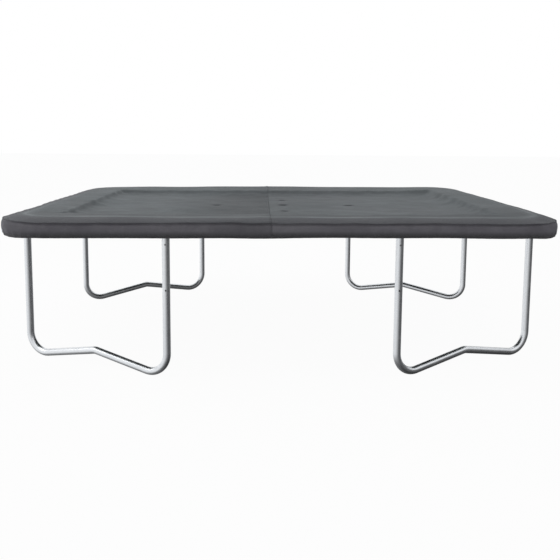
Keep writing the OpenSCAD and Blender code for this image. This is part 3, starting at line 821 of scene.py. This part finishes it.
# (how far outside its start, how far below the crease) down the skirt
SKIRT_PROFILE = [(0.0, -0.0014), (0.0, 0.0005), (0.0003, 0.0042), (0.0022, 0.0078), (0.0046, 0.012),
                 (0.0064, 0.018), (0.0074, 0.025), (0.0076, 0.033), (0.0070, 0.041), (0.0058, 0.048),
                 (0.0040, 0.0545), (0.0022, 0.060)]
SKIRT_START_R = CREASE_R - 0.0015


def skirt_rows():
    """(r, how far below the crease) down the skirt, as a smooth curve through its profile."""
    outs, downs = zip(*SKIRT_PROFILE)
    steps = np.linspace(0, len(outs) - 1, 31)
    r = np.interp(steps, range(len(outs)), outs)
    down = np.interp(steps, range(len(outs)), downs)
    for _ in range(2):
        r[1:-1] = (r[:-2] + 2 * r[1:-1] + r[2:]) / 4
    return SKIRT_START_R + r, down


def gathers(feet, outs, along):
    """How far the hem stands out or in where the elastic gathers it."""
    x, y = edge_plan(feet, outs)
    turns = along / 0.055 + 0.5 * ripple(x, y, 0.5, 43)
    return 0.0009 * np.sin(2 * math.pi * turns) + 0.0006 * ripple(x, y, 0.06, 44)


def skirt_shape(feet, outs, along, r, down):
    """Points of the skirt. The elastic gathers it towards the hem, and it swells a little above that."""
    x, y = edge_plan(feet, outs)
    share = down / down[-1]
    swell = 0.0016 * ripple(x, y, 0.45, 41) + 0.0007 * ripple(x, y, 0.13, 42)
    tucked = 0.0028 * np.outer(np.exp(-(down / 0.010) ** 2), 1 - end_share(outs))
    groove = 0.0045 * np.exp(-((x - SEAM_X - 0.013) / 0.006) ** 2) * np.abs(outs[:, 1])
    radius = (r[:, None] + np.outer(np.sin(math.pi * np.clip(share, 0, 1)) ** 0.8, swell)
              + np.outer(smooth(0.3, 1.0, share), gathers(feet, outs, along)) - tucked
              - np.outer(smooth(0.0, 0.15, share), groove))
    height = (CREASE_Z - down[:, None] + np.outer(1 - smooth(0.1, 0.9, share), crease_wave(feet, outs))
              - np.outer(share, droop(feet, outs)))
    return np.dstack([feet[None] + outs[None] * radius[..., None], height])


def side_of_seam(points, side):
    """Which columns of a closed strip belong to one half of the cover. Both halves hold the seam's lap."""
    x = points[..., 0].mean(axis=0)
    following = np.roll(x, -1)
    middle = (x + following) / 2
    return middle < SEAM_X + LAP if side == "left" else middle > SEAM_X - LAP


def make_cover_skirt():
    """The two halves of the skirt, lapped at the seam. Returns them and the length round the cover's edge."""
    seam_steps = (-LAP, 0.0, LAP, 0.010, 0.013, 0.016, 0.022)
    feet, outs, along = perimeter(EDGE_SPACING, [SEAM_X + step for step in seam_steps])
    r, down = skirt_rows()
    points = skirt_shape(feet, outs, along, r, down)
    rows, columns = points.shape[:2]
    plan_uvs = np.stack(np.broadcast_arrays(along[None], -down[:, None]), axis=-1).reshape(-1, 2)
    lap_lift = 0.0016
    made = []
    for side in ("left", "right"):
        shown = points.copy()
        if side == "left":
            shown[..., :2] += outs[None] * (lap_lift * over_lap(shown[..., 0]))[..., None]
        keep = np.broadcast_to(side_of_seam(points, side), (rows - 1, columns))
        faces = grid_faces(rows, columns, closed_columns=True, keep=keep)
        verts, faces, uvs = used_only(shown.reshape(-1, 3), faces[:, ::-1], plan_uvs)
        half = mesh_object(f"cover_skirt_{side}_cloth", verts, faces, skirt_finish, uvs)
        thicken(half, CLOTH)
        made.append(settle(half, "cover", "cover_skirt_cloth", f"cover_skirt_{side}"))
    return made, along[-1]


def hem_wave(feet, outs):
    """How far the hem wanders up and down round the cover."""
    x, y = edge_plan(feet, outs)
    return 0.0012 * ripple(x, y, 0.5, 46) - droop(feet, outs)


def make_hem_casing():
    """The dark casing that holds the elastic, with its flap outside the skirt. Also returns its width."""
    feet, outs, along = perimeter(EDGE_SPACING)
    inner, outer = SKIRT_START_R + 0.0036, ELASTIC_R + 0.0034
    bead = 0.0046
    turns = np.linspace(math.radians(25), math.radians(-205), 17)
    profile = [(inner, FLAP_TOP_Z), (inner, FLAP_SEAM_Z), (SKIRT_START_R + 0.0026, CREASE_Z - 0.0620)]
    profile += [(ELASTIC_R + bead * math.cos(a), ELASTIC_Z + bead * math.sin(a)) for a in turns]
    profile += [(ELASTIC_R + 0.0012, ELASTIC_Z + 0.0062), (outer, FLAP_SEAM_Z), (outer, FLAP_TOP_Z)]
    r, z = np.array(profile).T[..., None]
    r = r + 0.9 * gathers(feet, outs, along)
    z = z + hem_wave(feet, outs)
    points = np.dstack([feet[None] + outs[None] * r[..., None], z])
    faces = grid_faces(*z.shape, closed_columns=True)[:, ::-1]
    across = lengths_along(profile)
    uvs = np.stack(np.broadcast_arrays(along[None], across[:, None]), axis=-1).reshape(-1, 2)
    casing = mesh_object("cover_hem_casing", points.reshape(-1, 3), faces, hem_finish, uvs)
    thicken(casing, CLOTH)
    return settle(casing, "cover", "cover_skirt_cloth"), across[-1]


def make_elastic():
    """The elastic cord inside the hem."""
    feet, outs, along = perimeter(EDGE_SPACING)
    path = np.column_stack([feet + outs * ELASTIC_R, ELASTIC_Z + hem_wave(feet, outs)])
    verts, faces = tube_mesh(path, 0.0024, CORD_SIDES, closed=True)
    uvs = np.column_stack([np.repeat(along, CORD_SIDES), verts[:, 2]])
    cord = mesh_object("hem_elastic_cord", verts, faces, strap_finish, uvs)
    settle(cord, "cover", "elastic", "hem_elastic")


def make_eyelets():
    """A two-part plastic eyelet in each drain hole: a domed collar above, a washer below."""
    section = [(0.0054, 0.0008), (0.0062, 0.0016), (0.0082, 0.0019), (0.0102, 0.0012), (0.0110, 0.0001),
               (0.0104, -0.0003), (0.0060, -0.0002), (0.0060, -0.0016), (0.0094, -0.0017), (0.0098, -0.0023),
               (0.0090, -0.0029), (0.0060, -0.0030), (0.0054, -0.0024)]
    sides = 40
    turns = 2 * math.pi * np.arange(sides) / sides
    verts = np.array([(r * math.cos(a), r * math.sin(a), z) for r, z in section for a in turns])
    faces = grid_faces(len(section), sides, closed_rows=True, closed_columns=True)[:, ::-1].tolist()
    spots = [Matrix.Translation((x, y, float(surface_at(x + 0.009, y)))) for x, y in HOLES]
    verts, faces = copies(verts, faces, spots)
    eyelets = mesh_object("drain_eyelet_rings", verts, faces, eyelet_finish)
    settle(eyelets, "cover", "eyelet_plastic", "drain_eyelets")


def make_cover_stitches():
    """Topstitching: round the crease and the hem, and two rows along the centre seam."""
    feet, outs, _ = perimeter(EDGE_SPACING)
    r = np.full(len(feet), RIM_R - 0.0065)
    plan = feet + outs * (r - rim_in(outs, r))[:, None]
    z = top_height(plan[:, 0], plan[:, 1], r, r, rim_move(feet, outs)) + 0.0001
    crease = np.column_stack([plan, z])
    leaning = np.column_stack([outs * 0.5, np.ones(len(plan))])
    stitch_row("crease_stitches", closed(crease), closed(leaning), grey_thread, "cover")
    hem = np.column_stack([feet + outs * (SKIRT_START_R + 0.0038), FLAP_SEAM_Z + hem_wave(feet, outs)])
    outwards = np.column_stack([outs, np.zeros(len(outs))])
    stitch_row("hem_stitches", closed(hem), closed(outwards), grey_thread, "cover")
    y = np.arange(-CORE_Y - RIM_R + 0.004, CORE_Y + RIM_R - 0.003, 0.008)
    up = np.tile([0.0, 0.0, 1.0], (len(y), 1))
    for name, shift in (("outer", -0.0045), ("inner", 0.0045)):
        x = np.full(len(y), SEAM_X + shift)
        line = np.column_stack([x, y, surface_at(x, y) + 0.0018])
        stitch_row(f"seam_stitches_{name}", line, up, grey_thread, "cover")


# ---------------------------------------------------------------- the mat, its rings and its springs

WIRE = 0.005                       # the rings' wire
RING_BASE_R = 0.0485
RING_TIP_R = 0.0885
RING_WIDTH = 0.056
SPRING_WIRE = 0.0036
COIL_RADIUS = 0.0087
COIL_START_R = 0.108
COIL_END_R = 0.216


def stations():
    """{side: 4x4 matrices}, one for each spring: origin on the core's outline at rail height, +X outward."""
    def row(count, pitch, foot, out):
        spots = [(n - (count - 1) / 2) * pitch for n in range(count)]
        return [station(foot(s), out) for s in spots]

    def station(foot, out):
        ahead = Vector((*out, 0)).normalized()
        side = Vector((0, 0, 1)).cross(ahead)
        return Matrix(((ahead.x, side.x, 0, foot[0]), (ahead.y, side.y, 0, foot[1]),
                       (0, 0, 1, RAIL_Z), (0, 0, 0, 1)))

    found = {
        "front": row(SPRINGS_LONG, PITCH_LONG, lambda s: (s, -CORE_Y), (0, -1)),
        "back": row(SPRINGS_LONG, PITCH_LONG, lambda s: (s, CORE_Y), (0, 1)),
        "left": row(SPRINGS_SHORT, PITCH_SHORT, lambda s: (-CORE_X, s), (-1, 0)),
        "right": row(SPRINGS_SHORT, PITCH_SHORT, lambda s: (CORE_X, s), (1, 0)),
    }
    for depth, sy in (("front", -1), ("back", 1)):
        for end, sx in (("left", -1), ("right", 1)):
            found[f"{depth}_{end}"] = [station((sx * CORE_X, sy * CORE_Y), (sx, sy))]
    return found


STATIONS = stations()


def mat_grid(low_r):
    """Plan points of the mat where r is above low_r, with the edge drawn in a little between its rings."""
    inner = min(0.03, -low_r)
    edge_spacing = 0.006

    def mat_lines(half, spacing):
        stops = [-half - MAT_EDGE_R, -half + inner, half - inner, half + MAT_EDGE_R]
        return lines(stops, [edge_spacing, spacing, edge_spacing])

    v, u = np.meshgrid(mat_lines(CORE_Y, 0.013), mat_lines(CORE_X, 0.0135), indexing="ij")
    foot, out, r = to_plan(u, v)
    on_end = np.abs(u) - CORE_X > np.abs(v) - CORE_Y
    phase = np.where(on_end, v / PITCH_SHORT, u / PITCH_LONG)
    drawn = 0.0022 * (1 + np.cos(2 * math.pi * phase)) / 2 * smooth(0.0, MAT_EDGE_R, r)
    plan = plan_points(foot, out, r - drawn)
    cell_r = (r[:-1, :-1] + r[1:, 1:] + r[1:, :-1] + r[:-1, 1:]) / 4
    faces = grid_faces(*u.shape, keep=cell_r > low_r)
    return plan.reshape(-1, 2), faces


def make_mat():
    """The jumping mat, all of it: the whole plan lies above this low_r."""
    plan, faces = mat_grid(-10)
    z = MAT_TOP_Z - 0.0004 + 0.0003 * ripple(plan[:, 0], plan[:, 1], 0.3, 61)
    mat = mesh_object("jumping_mat_cloth", np.column_stack([plan, z]), faces, mat_finish, plan)
    thicken(mat, 0.001)
    return settle(mat, "mat", "mat_weave", "jumping_mat")


def make_mat_hem():
    """The webbing sewn under the mat's edge."""
    plan, faces = mat_grid(-0.005)
    z = np.full(len(plan), HEM_LOW_Z + 0.0022)
    verts, faces, uvs = used_only(np.column_stack([plan, z]), faces, plan)
    hem = mesh_object("mat_hem_webbing", verts, faces, tape_finish, uvs)
    thicken(hem, 0.0018)
    return settle(hem, "mat", "webbing", "mat_hem")


def make_loops():
    """A folded webbing loop round the base bar of each ring, sewn to both faces of the mat's edge."""
    wrap = 0.0034
    inner, outer, bend = 0.012, 0.034, 0.042
    top = MAT_TOP_Z - RAIL_Z + 0.0008
    bottom = HEM_LOW_Z - RAIL_Z - 0.0007
    path = [(inner, top), (outer, top), (bend, top + 0.0008)]
    turns = np.radians(np.linspace(115, -115, 11))
    path += [(RING_BASE_R + wrap * math.cos(a), wrap * math.sin(a)) for a in turns]
    path += [(bend, bottom - 0.0004), (outer, bottom), (inner, bottom)]
    spots = [spot for spots in STATIONS.values() for spot in spots]
    loops = bands("ring_loop_webbing", path, 0.015, spots, tape_finish, 0.0012, offset=0)
    return settle(loops, "mat", "webbing", "ring_loops")


def ring_path():
    """A triangle of wire with rounded corners, in the plane of the mat."""
    half = RING_WIDTH / 2 - WIRE / 2
    rounding = 0.009
    corners = [(RING_BASE_R, -half), (RING_BASE_R, half), (RING_TIP_R, 0)]
    path = []
    for k, corner in enumerate(corners):
        here = np.array(corner)
        before = np.array(corners[k - 1]) - here
        after = np.array(corners[(k + 1) % 3]) - here
        start = here + before / np.linalg.norm(before) * rounding
        end = here + after / np.linalg.norm(after) * rounding
        for t in np.linspace(0, 1, 6):
            x, y = (1 - t) ** 2 * start + 2 * t * (1 - t) * here + t * t * end
            path.append((x, y, 0.0))
    return path


def make_rings():
    """The triangular rings, one for each spring, in a piece for each side and one for the corners."""
    verts, faces = tube_mesh(ring_path(), WIRE / 2, 10, closed=True)
    groups = {side: STATIONS[side] for side in ("front", "back", "left", "right")}
    groups["corners"] = [STATIONS[name][0] for name in STATIONS if "_" in name]
    for side, spots in groups.items():
        rings = mesh_object(f"ring_wires_{side}", *copies(verts, faces, spots), wire_finish)
        settle(rings, "mat", "zinc_plate", f"rings_{side}")


def spring_path():
    """One wire from hook to hook: round the ring's tip, a coil that narrows at both ends, into the rail."""
    hook = WIRE / 2 + SPRING_WIRE / 2 + 0.0003
    tip = RING_TIP_R + 0.0012
    path = [(tip + hook * math.cos(a), 0.0, hook * math.sin(a)) for a in np.radians(np.linspace(235, 35, 12))]
    path.append((COIL_START_R - 0.006, 0.0, 0.0012))
    turns = 29
    per_turn = 12
    narrowing_turns = 1.6
    for n in range(turns * per_turn + 1):
        share = n / (turns * per_turn)
        widening = min(1.0, min(share, 1 - share) * turns / narrowing_turns)
        narrow = min(1.0, 0.3 + 0.7 * math.sin(math.pi / 2 * widening))
        angle = 2 * math.pi * n / per_turn + math.pi / 2
        r = COIL_START_R + (COIL_END_R - COIL_START_R) * share
        path.append((r, COIL_RADIUS * narrow * math.cos(angle), COIL_RADIUS * narrow * math.sin(angle)))
    rail_hook = [(0.005, 0.0008), (0.010, 0.0), (0.0145, -0.0008), (0.0172, -0.0040), (0.0172, -0.0090)]
    return path + [(COIL_END_R + x, 0.0, z) for x, z in rail_hook]


def make_springs():
    """The springs, a piece for each side and for each corner, in place of the CAD springs."""
    verts, faces = tube_mesh(spring_path(), SPRING_WIRE / 2, 6)
    for side, spots in STATIONS.items():
        springs = mesh_object(f"spring_coils_{side}", *copies(verts, faces, spots), wire_finish)
        node = f"springs_{side}" if "_" not in side else "springs_corners"
        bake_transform(springs)
        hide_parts(node)


def make_mat_stitches():
    """Three rows of pale thread round the mat."""
    feet, outs, _ = perimeter(0.03)
    up = np.tile([0.0, 0.0, 1.0], (len(feet) + 1, 1))
    for name, r in (("outer", 0.033), ("middle", 0.016), ("inner", 0.002)):
        line = closed(np.column_stack([feet + outs * r, np.full(len(feet), MAT_TOP_Z + 0.0001)]))
        stitch_row(f"mat_stitches_{name}", line, up, pale_thread, "mat", pitch=0.009, length=0.0065,
                   width=0.0014)


# ---------------------------------------------------------------- the pads

PAD_MID_Z = (PAD_LOW_Z + PAD_TOP_Z) / 2
PAD_HALF = (PAD_TOP_Z - PAD_LOW_Z) / 2
PAD_EDGE = 0.022                   # how far in from a pad's edge its rounding reaches
MITRE_GAP = 0.0012
COVER_GAP = 0.0022                 # the least gap between a pad and the cover's cloth
PIPING = 0.0019                    # radius of the cord sewn into a pad's edge
PUCKER = 0.002                     # how far the skin may sink in between its seams, clear of the foam
CHANNELS = {"front": 5, "back": 5, "left": 3, "right": 3}
SKIN_INSET = 0.0006                # from a pad's CAD outline to its skin
SKIN_SPACING = 0.0115              # of the skin's grid
EDGE_STEPS = [0.0, 0.0025, 0.007, 0.014]   # its closer lines along each edge


def edged_lines(length, spacing):
    """Grid lines from 0 to the length, closer together along both edges."""
    middle = lines([EDGE_STEPS[-1], length - EDGE_STEPS[-1]], [spacing])
    return np.concatenate([EDGE_STEPS[:-1], middle, length - np.array(EDGE_STEPS[:-1][::-1])])


def pad_plan(side, inset, spacing):
    """Plan points of one mitred pad as a grid: rows at a constant r, columns along it. Also each point's
    distance to the pad's nearest edge and to its nearest sewn channel, its place on the flat cloth, and the
    height that the cover leaves it."""
    long_side = side in ("front", "back")
    half = CORE_X if long_side else CORE_Y
    inner, outer = PAD_INNER_R + inset, PAD_OUTER_R - inset
    across = inner + edged_lines(outer - inner, spacing)
    whole = 2 * (half + outer)
    shares = edged_lines(whole, spacing) / whole * 2 - 1
    b, share = np.meshgrid(across, shares, indexing="ij")
    reach = half + b - MITRE_GAP - 1.4 * inset
    a = share * reach
    u, v = (a, CORE_Y + b) if long_side else (CORE_X + b, a)
    if side in ("front", "left"):
        u, v = (u, -v) if long_side else (-u, v)
    foot, out, r = to_plan(u, v)
    edge = np.minimum(np.minimum(b - inner, outer - b), (reach - np.abs(a)) * 0.8)
    count = CHANNELS[side]
    channels = np.array([(n + 1) / (count + 1) * 2 - 1 for n in range(count)]) * half
    channel = np.min(np.abs(a[..., None] - channels), axis=-1)
    room = height_over(foot, out, r) - CLOTH - COVER_GAP - 0.4 * inset
    return plan_points(foot, out, r), edge, channel, np.stack([a, b], axis=-1), room


def seam_height(room):
    """The height of a pad's seam, low enough for its piping to lie under the cover."""
    return np.minimum(PAD_MID_Z, room - PIPING - 0.0003)


def pad_shell(name, side, material, inset, half_height, spacing, dent):
    """A closed cushion: top and bottom sheets that meet at a seam all round, drawn in at the sewn channels.
    Returns it and the height that the cover leaves each of its points."""
    plan, edge, channel, uv, room = pad_plan(side, inset, spacing)
    rows, columns = edge.shape
    rounding = np.sqrt(1 - (1 - np.clip(edge / PAD_EDGE, 0, 1)) ** 2)
    height = half_height * (0.12 + 0.88 * rounding) * (1 - dent * np.exp(-(channel / 0.010) ** 2))
    border = np.zeros((rows, columns), bool)
    border[[0, -1], :] = True
    border[:, [0, -1]] = True
    height[border] = 0
    middle = seam_height(room)
    top = np.dstack([plan, np.minimum(middle + height, room)]).reshape(-1, 3)
    bottom = np.dstack([plan, np.maximum(middle - height, PAD_LOW_Z + 0.0004)]).reshape(-1, 3)
    numbers = np.arange(rows * columns)
    below = np.where(border.ravel(), numbers, numbers + rows * columns)
    faces_top = grid_faces(rows, columns)
    if np.cross(plan[1, 0] - plan[0, 0], plan[0, 1] - plan[0, 0]) > 0:
        faces_top = faces_top[:, ::-1]
    faces_bottom = below[faces_top][:, ::-1]
    verts, faces, uvs = used_only(np.vstack([top, bottom]), np.vstack([faces_top, faces_bottom]),
                                  np.vstack([uv.reshape(-1, 2)] * 2))
    made = mesh_object(name, verts, faces, material, uvs)
    seam = made.vertex_groups.new(name="seam")
    used = np.unique(np.vstack([faces_top, faces_bottom]))
    sewn = np.tile(border.ravel(), 2)[used] | (np.tile(channel.ravel(), 2)[used] < 0.004)
    seam.add(np.nonzero(sewn)[0].tolist(), 1.0, "REPLACE")
    return made, np.tile(room.ravel(), 2)[used]


def inflate(made, pressure, frames, cap, room):
    """Fills a cushion by cloth simulation, held at its seams, so that the skin swells and puckers there.
    No point moves further than cap, and none rises above room, the height that the cover leaves it."""
    scene = bpy.context.scene
    rest = np.array([v.co for v in made.data.vertices], float)
    cloth = made.modifiers.new("fill", "CLOTH")
    settings = cloth.settings
    settings.quality = 5
    settings.mass = 0.25
    settings.tension_stiffness = 12
    settings.compression_stiffness = 6
    settings.shear_stiffness = 4
    settings.bending_stiffness = 0.25
    settings.shrink_min = -0.022
    settings.use_pressure = True
    settings.uniform_pressure_force = pressure
    settings.effector_weights.gravity = 0
    settings.vertex_group_mass = "seam"
    cloth.point_cache.frame_start = 1
    cloth.point_cache.frame_end = frames
    for number in range(1, frames + 1):
        scene.frame_set(number)
    shaped = made.evaluated_get(bpy.context.evaluated_depsgraph_get())
    moved = np.array([v.co for v in shaped.data.vertices], float)
    made.modifiers.remove(cloth)
    scene.frame_set(1)
    shift = moved - rest
    outwards = np.where(rest[:, 2] > PAD_MID_Z, 1, -1)
    shift[:, 2] = outwards * np.maximum(outwards * shift[:, 2], -PUCKER)
    size = np.linalg.norm(shift, axis=1)
    shift *= np.minimum(1, cap / np.maximum(size, 1e-9))[:, None]
    final = rest + shift
    final[:, 2] = np.clip(final[:, 2], PAD_LOW_Z - 0.0005, np.minimum(PAD_TOP_Z + 0.001, room))
    made.data.vertices.foreach_set("co", final.astype(np.float32).ravel())
    made.data.update()


def make_pad(side):
    """One pad: its foam, and its skin with piping round the seam. Returns the foam and the skin."""
    foam, _ = pad_shell(f"foam_core_{side}", side, foam_finish, inset=0.016, half_height=PAD_HALF * 0.58,
                        spacing=0.015, dent=0.6)
    settle(foam, "frame", "pad_foam", f"pad_foam_{side}")
    skin, room = pad_shell(f"pad_skin_{side}", side, vinyl_finish, SKIN_INSET, half_height=PAD_HALF * 0.90,
                           spacing=SKIN_SPACING, dent=0.30)
    inflate(skin, pressure=1.2, frames=16, cap=0.007, room=room)
    settle(skin, "frame", "pad_cloth", f"pad_{side}")
    plan, *_, room = pad_plan(side, SKIN_INSET, SKIN_SPACING)
    seam = np.dstack([plan, seam_height(room)])
    path = np.vstack([seam[0], seam[1:, -1], seam[-1, -2::-1], seam[-2:0:-1, 0]])
    verts, faces = tube_mesh(path, PIPING, CORD_SIDES, closed=True)
    settle(mesh_object(f"pad_piping_{side}", verts, faces, vinyl_finish, verts[:, :2]), "frame", "pad_cloth")
    return foam, skin


# (how many straps, their pitch) under each pad
STRAPS = {"front": (4, 0.625), "back": (4, 0.625), "left": (3, 1.6 / 3), "right": (3, 1.6 / 3)}


def make_straps():
    """Elastic bands from under the pads round the rails."""
    radius = RAIL_RADIUS + 0.0011
    lift = PAD_LOW_Z - RAIL_Z - 0.0004
    reach = 0.034
    end = reach + 0.012
    lean = math.atan2(lift, reach) - math.acos(radius / math.hypot(lift, reach))
    path = [(end, lift), (reach, lift)]
    path += [(radius * math.cos(-a), radius * math.sin(-a)) for a in np.linspace(-lean, math.pi + lean, 22)]
    path += [(-reach, lift), (-end, lift)]
    path = [(RAIL_BEND + x, z) for x, z in path]
    spots = []
    for side, (count, pitch) in STRAPS.items():
        first = STATIONS[side][0]
        side_axis = Vector((first[0][1], first[1][1], 0))
        base = Vector((first[0][3], first[1][3], 0))
        base -= side_axis * base.dot(side_axis)
        for n in range(count):
            spot = first.copy()
            spot.translation = base + side_axis * (n - (count - 1) / 2) * pitch + Vector((0, 0, RAIL_Z))
            spots.append(spot)
    straps = bands("pad_strap_bands", path, 0.0125, spots, strap_finish, 0.0012, offset=1)
    settle(straps, "frame", "elastic", "pad_straps")


# ---------------------------------------------------------------- the frame's finish

def finish_frame():
    """Gives each CAD node that stays in sight its material."""
    tubes = ("rail_", "corner_rail_", "upright_", "leg_")
    finishes = {name: tube_finish for name in nodes if name.startswith(tubes)}
    finishes.update(rail_screws=screw_finish, leg_screws=screw_finish)
    for name, finish in finishes.items():
        nodes[name].data.materials.clear()
        nodes[name].data.materials.append(finish)


# ---------------------------------------------------------------- camera, lights and floor

def add_camera():
    """The photograph's view: a little above the cover, seen almost square to the long side."""
    data = bpy.data.cameras.new("camera")
    data.sensor_width = 36.0
    data.lens = 42.33
    data.shift_y = -0.129
    camera = bpy.data.objects.new("camera", data)
    bpy.context.scene.collection.objects.link(camera)
    stands_at = (-0.1155, -4.5197, 1.3135)
    below_horizon, turned_right, rolled = math.radians(6.276), math.radians(1.588), math.radians(0.427)
    turn = (Matrix.Rotation(-turned_right, 4, "Z") @ Matrix.Rotation(math.pi / 2 - below_horizon, 4, "X")
            @ Matrix.Rotation(rolled, 4, "Z"))
    camera.matrix_world = Matrix.Translation(stands_at) @ turn
    bpy.context.scene.camera = camera


def for_camera(g, seen, unseen):
    """One shader for the camera and another for all other rays."""
    return g.node("MixShader", {"Fac": g.node("LightPath")["Is Camera Ray"], 1: unseen, 2: seen})[0]


def add_world():
    """White to the camera. Everything else is lit from above and from the left, and less from the right."""
    world = bpy.data.worlds.new("studio")
    bpy.context.scene.world = world
    world.use_nodes = True
    world.node_tree.nodes.clear()
    g = Graph(world.node_tree)
    parts = g.axes(g.node("TexCoord")["Generated"])
    gloss = g.node("LightPath")["Is Glossy Ray"]
    side = g.span(parts["X"], 1.15, 0.14, -0.75, 0.62)
    behind = g.span(parts["Y"], 0.0, 0.15, 0.2, 1.0)
    around = g.times(g.plus(side, behind), g.span(gloss, 0.62, 1.0, 0.0, 1.0))
    up = g.span(parts["Z"], 0.0, 1.0, 0.15, 0.55)
    down = g.span(parts["Z"], 0.22, 1.0, -0.75, -0.25)
    ceiling = g.span(gloss, 0.56, 1.2, 0.0, 1.0)
    level = g.times(g.plus(around, g.times(up, g.minus(ceiling, around))), down)
    lit = g.node("Background", {"Color": (0.97, 0.985, 1.0), "Strength": level})[0]
    white = g.node("Background", {"Color": (1.0, 1.0, 1.0), "Strength": 1.0})[0]
    g.node("OutputWorld", {"Surface": for_camera(g, white, lit)})


def add_light(name, place_at, target, size, watts):
    data = bpy.data.lights.new(name, "AREA")
    data.shape = "RECTANGLE"
    data.size, data.size_y = size
    data.energy = watts
    light = bpy.data.objects.new(name, data)
    bpy.context.scene.collection.objects.link(light)
    light.location = place_at
    light.rotation_mode = "QUATERNION"
    light.rotation_quaternion = (Vector(target) - Vector(place_at)).to_track_quat("-Z", "Y")
    light.visible_camera = False


def add_floor():
    """A pale floor. It looks near white, but throws little light back up, as in a cut-out picture."""
    material = bpy.data.materials.new("floor")
    material.use_nodes = True
    material.node_tree.nodes.clear()
    g = Graph(material.node_tree)
    lit = g.node("BsdfDiffuse", {"Color": (0.9, 0.9, 0.9)})[0]
    glow = g.node("Emission", {"Color": (1.0, 1.0, 1.0), "Strength": 1.0})[0]
    pale = g.node("MixShader", {"Fac": 0.96, 1: lit, 2: glow})[0]
    dull = g.node("BsdfDiffuse", {"Color": (0.80, 0.80, 0.81)})[0]
    g.node("OutputMaterial", {"Surface": for_camera(g, pale, dull)})
    half = 40.0
    corners = [(-half, -half, 0), (half, -half, 0), (half, half, 0), (-half, half, 0)]
    floor = mesh_object("floor", corners, [(0, 1, 2, 3)], material, flat=True)
    floor.visible_glossy = False


# ---------------------------------------------------------------- everything together

add_camera()
add_world()
add_light("key", place_at=(-3.7, -1.2, 4.1), target=(0, 0, 0.7), size=(2.0, 4.0), watts=45)
add_light("back", place_at=(-1.0, 5.0, 2.6), target=(0, 0, 0.8), size=(5.0, 1.2), watts=2.5)
add_floor()
bpy.context.scene.view_settings.view_transform = "Standard"

finish_frame()
cover_tops = make_cover_top()
cover_skirts, perimeter_length = make_cover_skirt()
hem_casing, casing_width = make_hem_casing()
make_elastic()
make_eyelets()
make_cover_stitches()
mat = make_mat()
mat_hem = make_mat_hem()
loops = make_loops()
make_rings()
make_springs()
make_mat_stitches()
pads = [make_pad(side) for side in ("front", "back", "left", "right")]
make_straps()
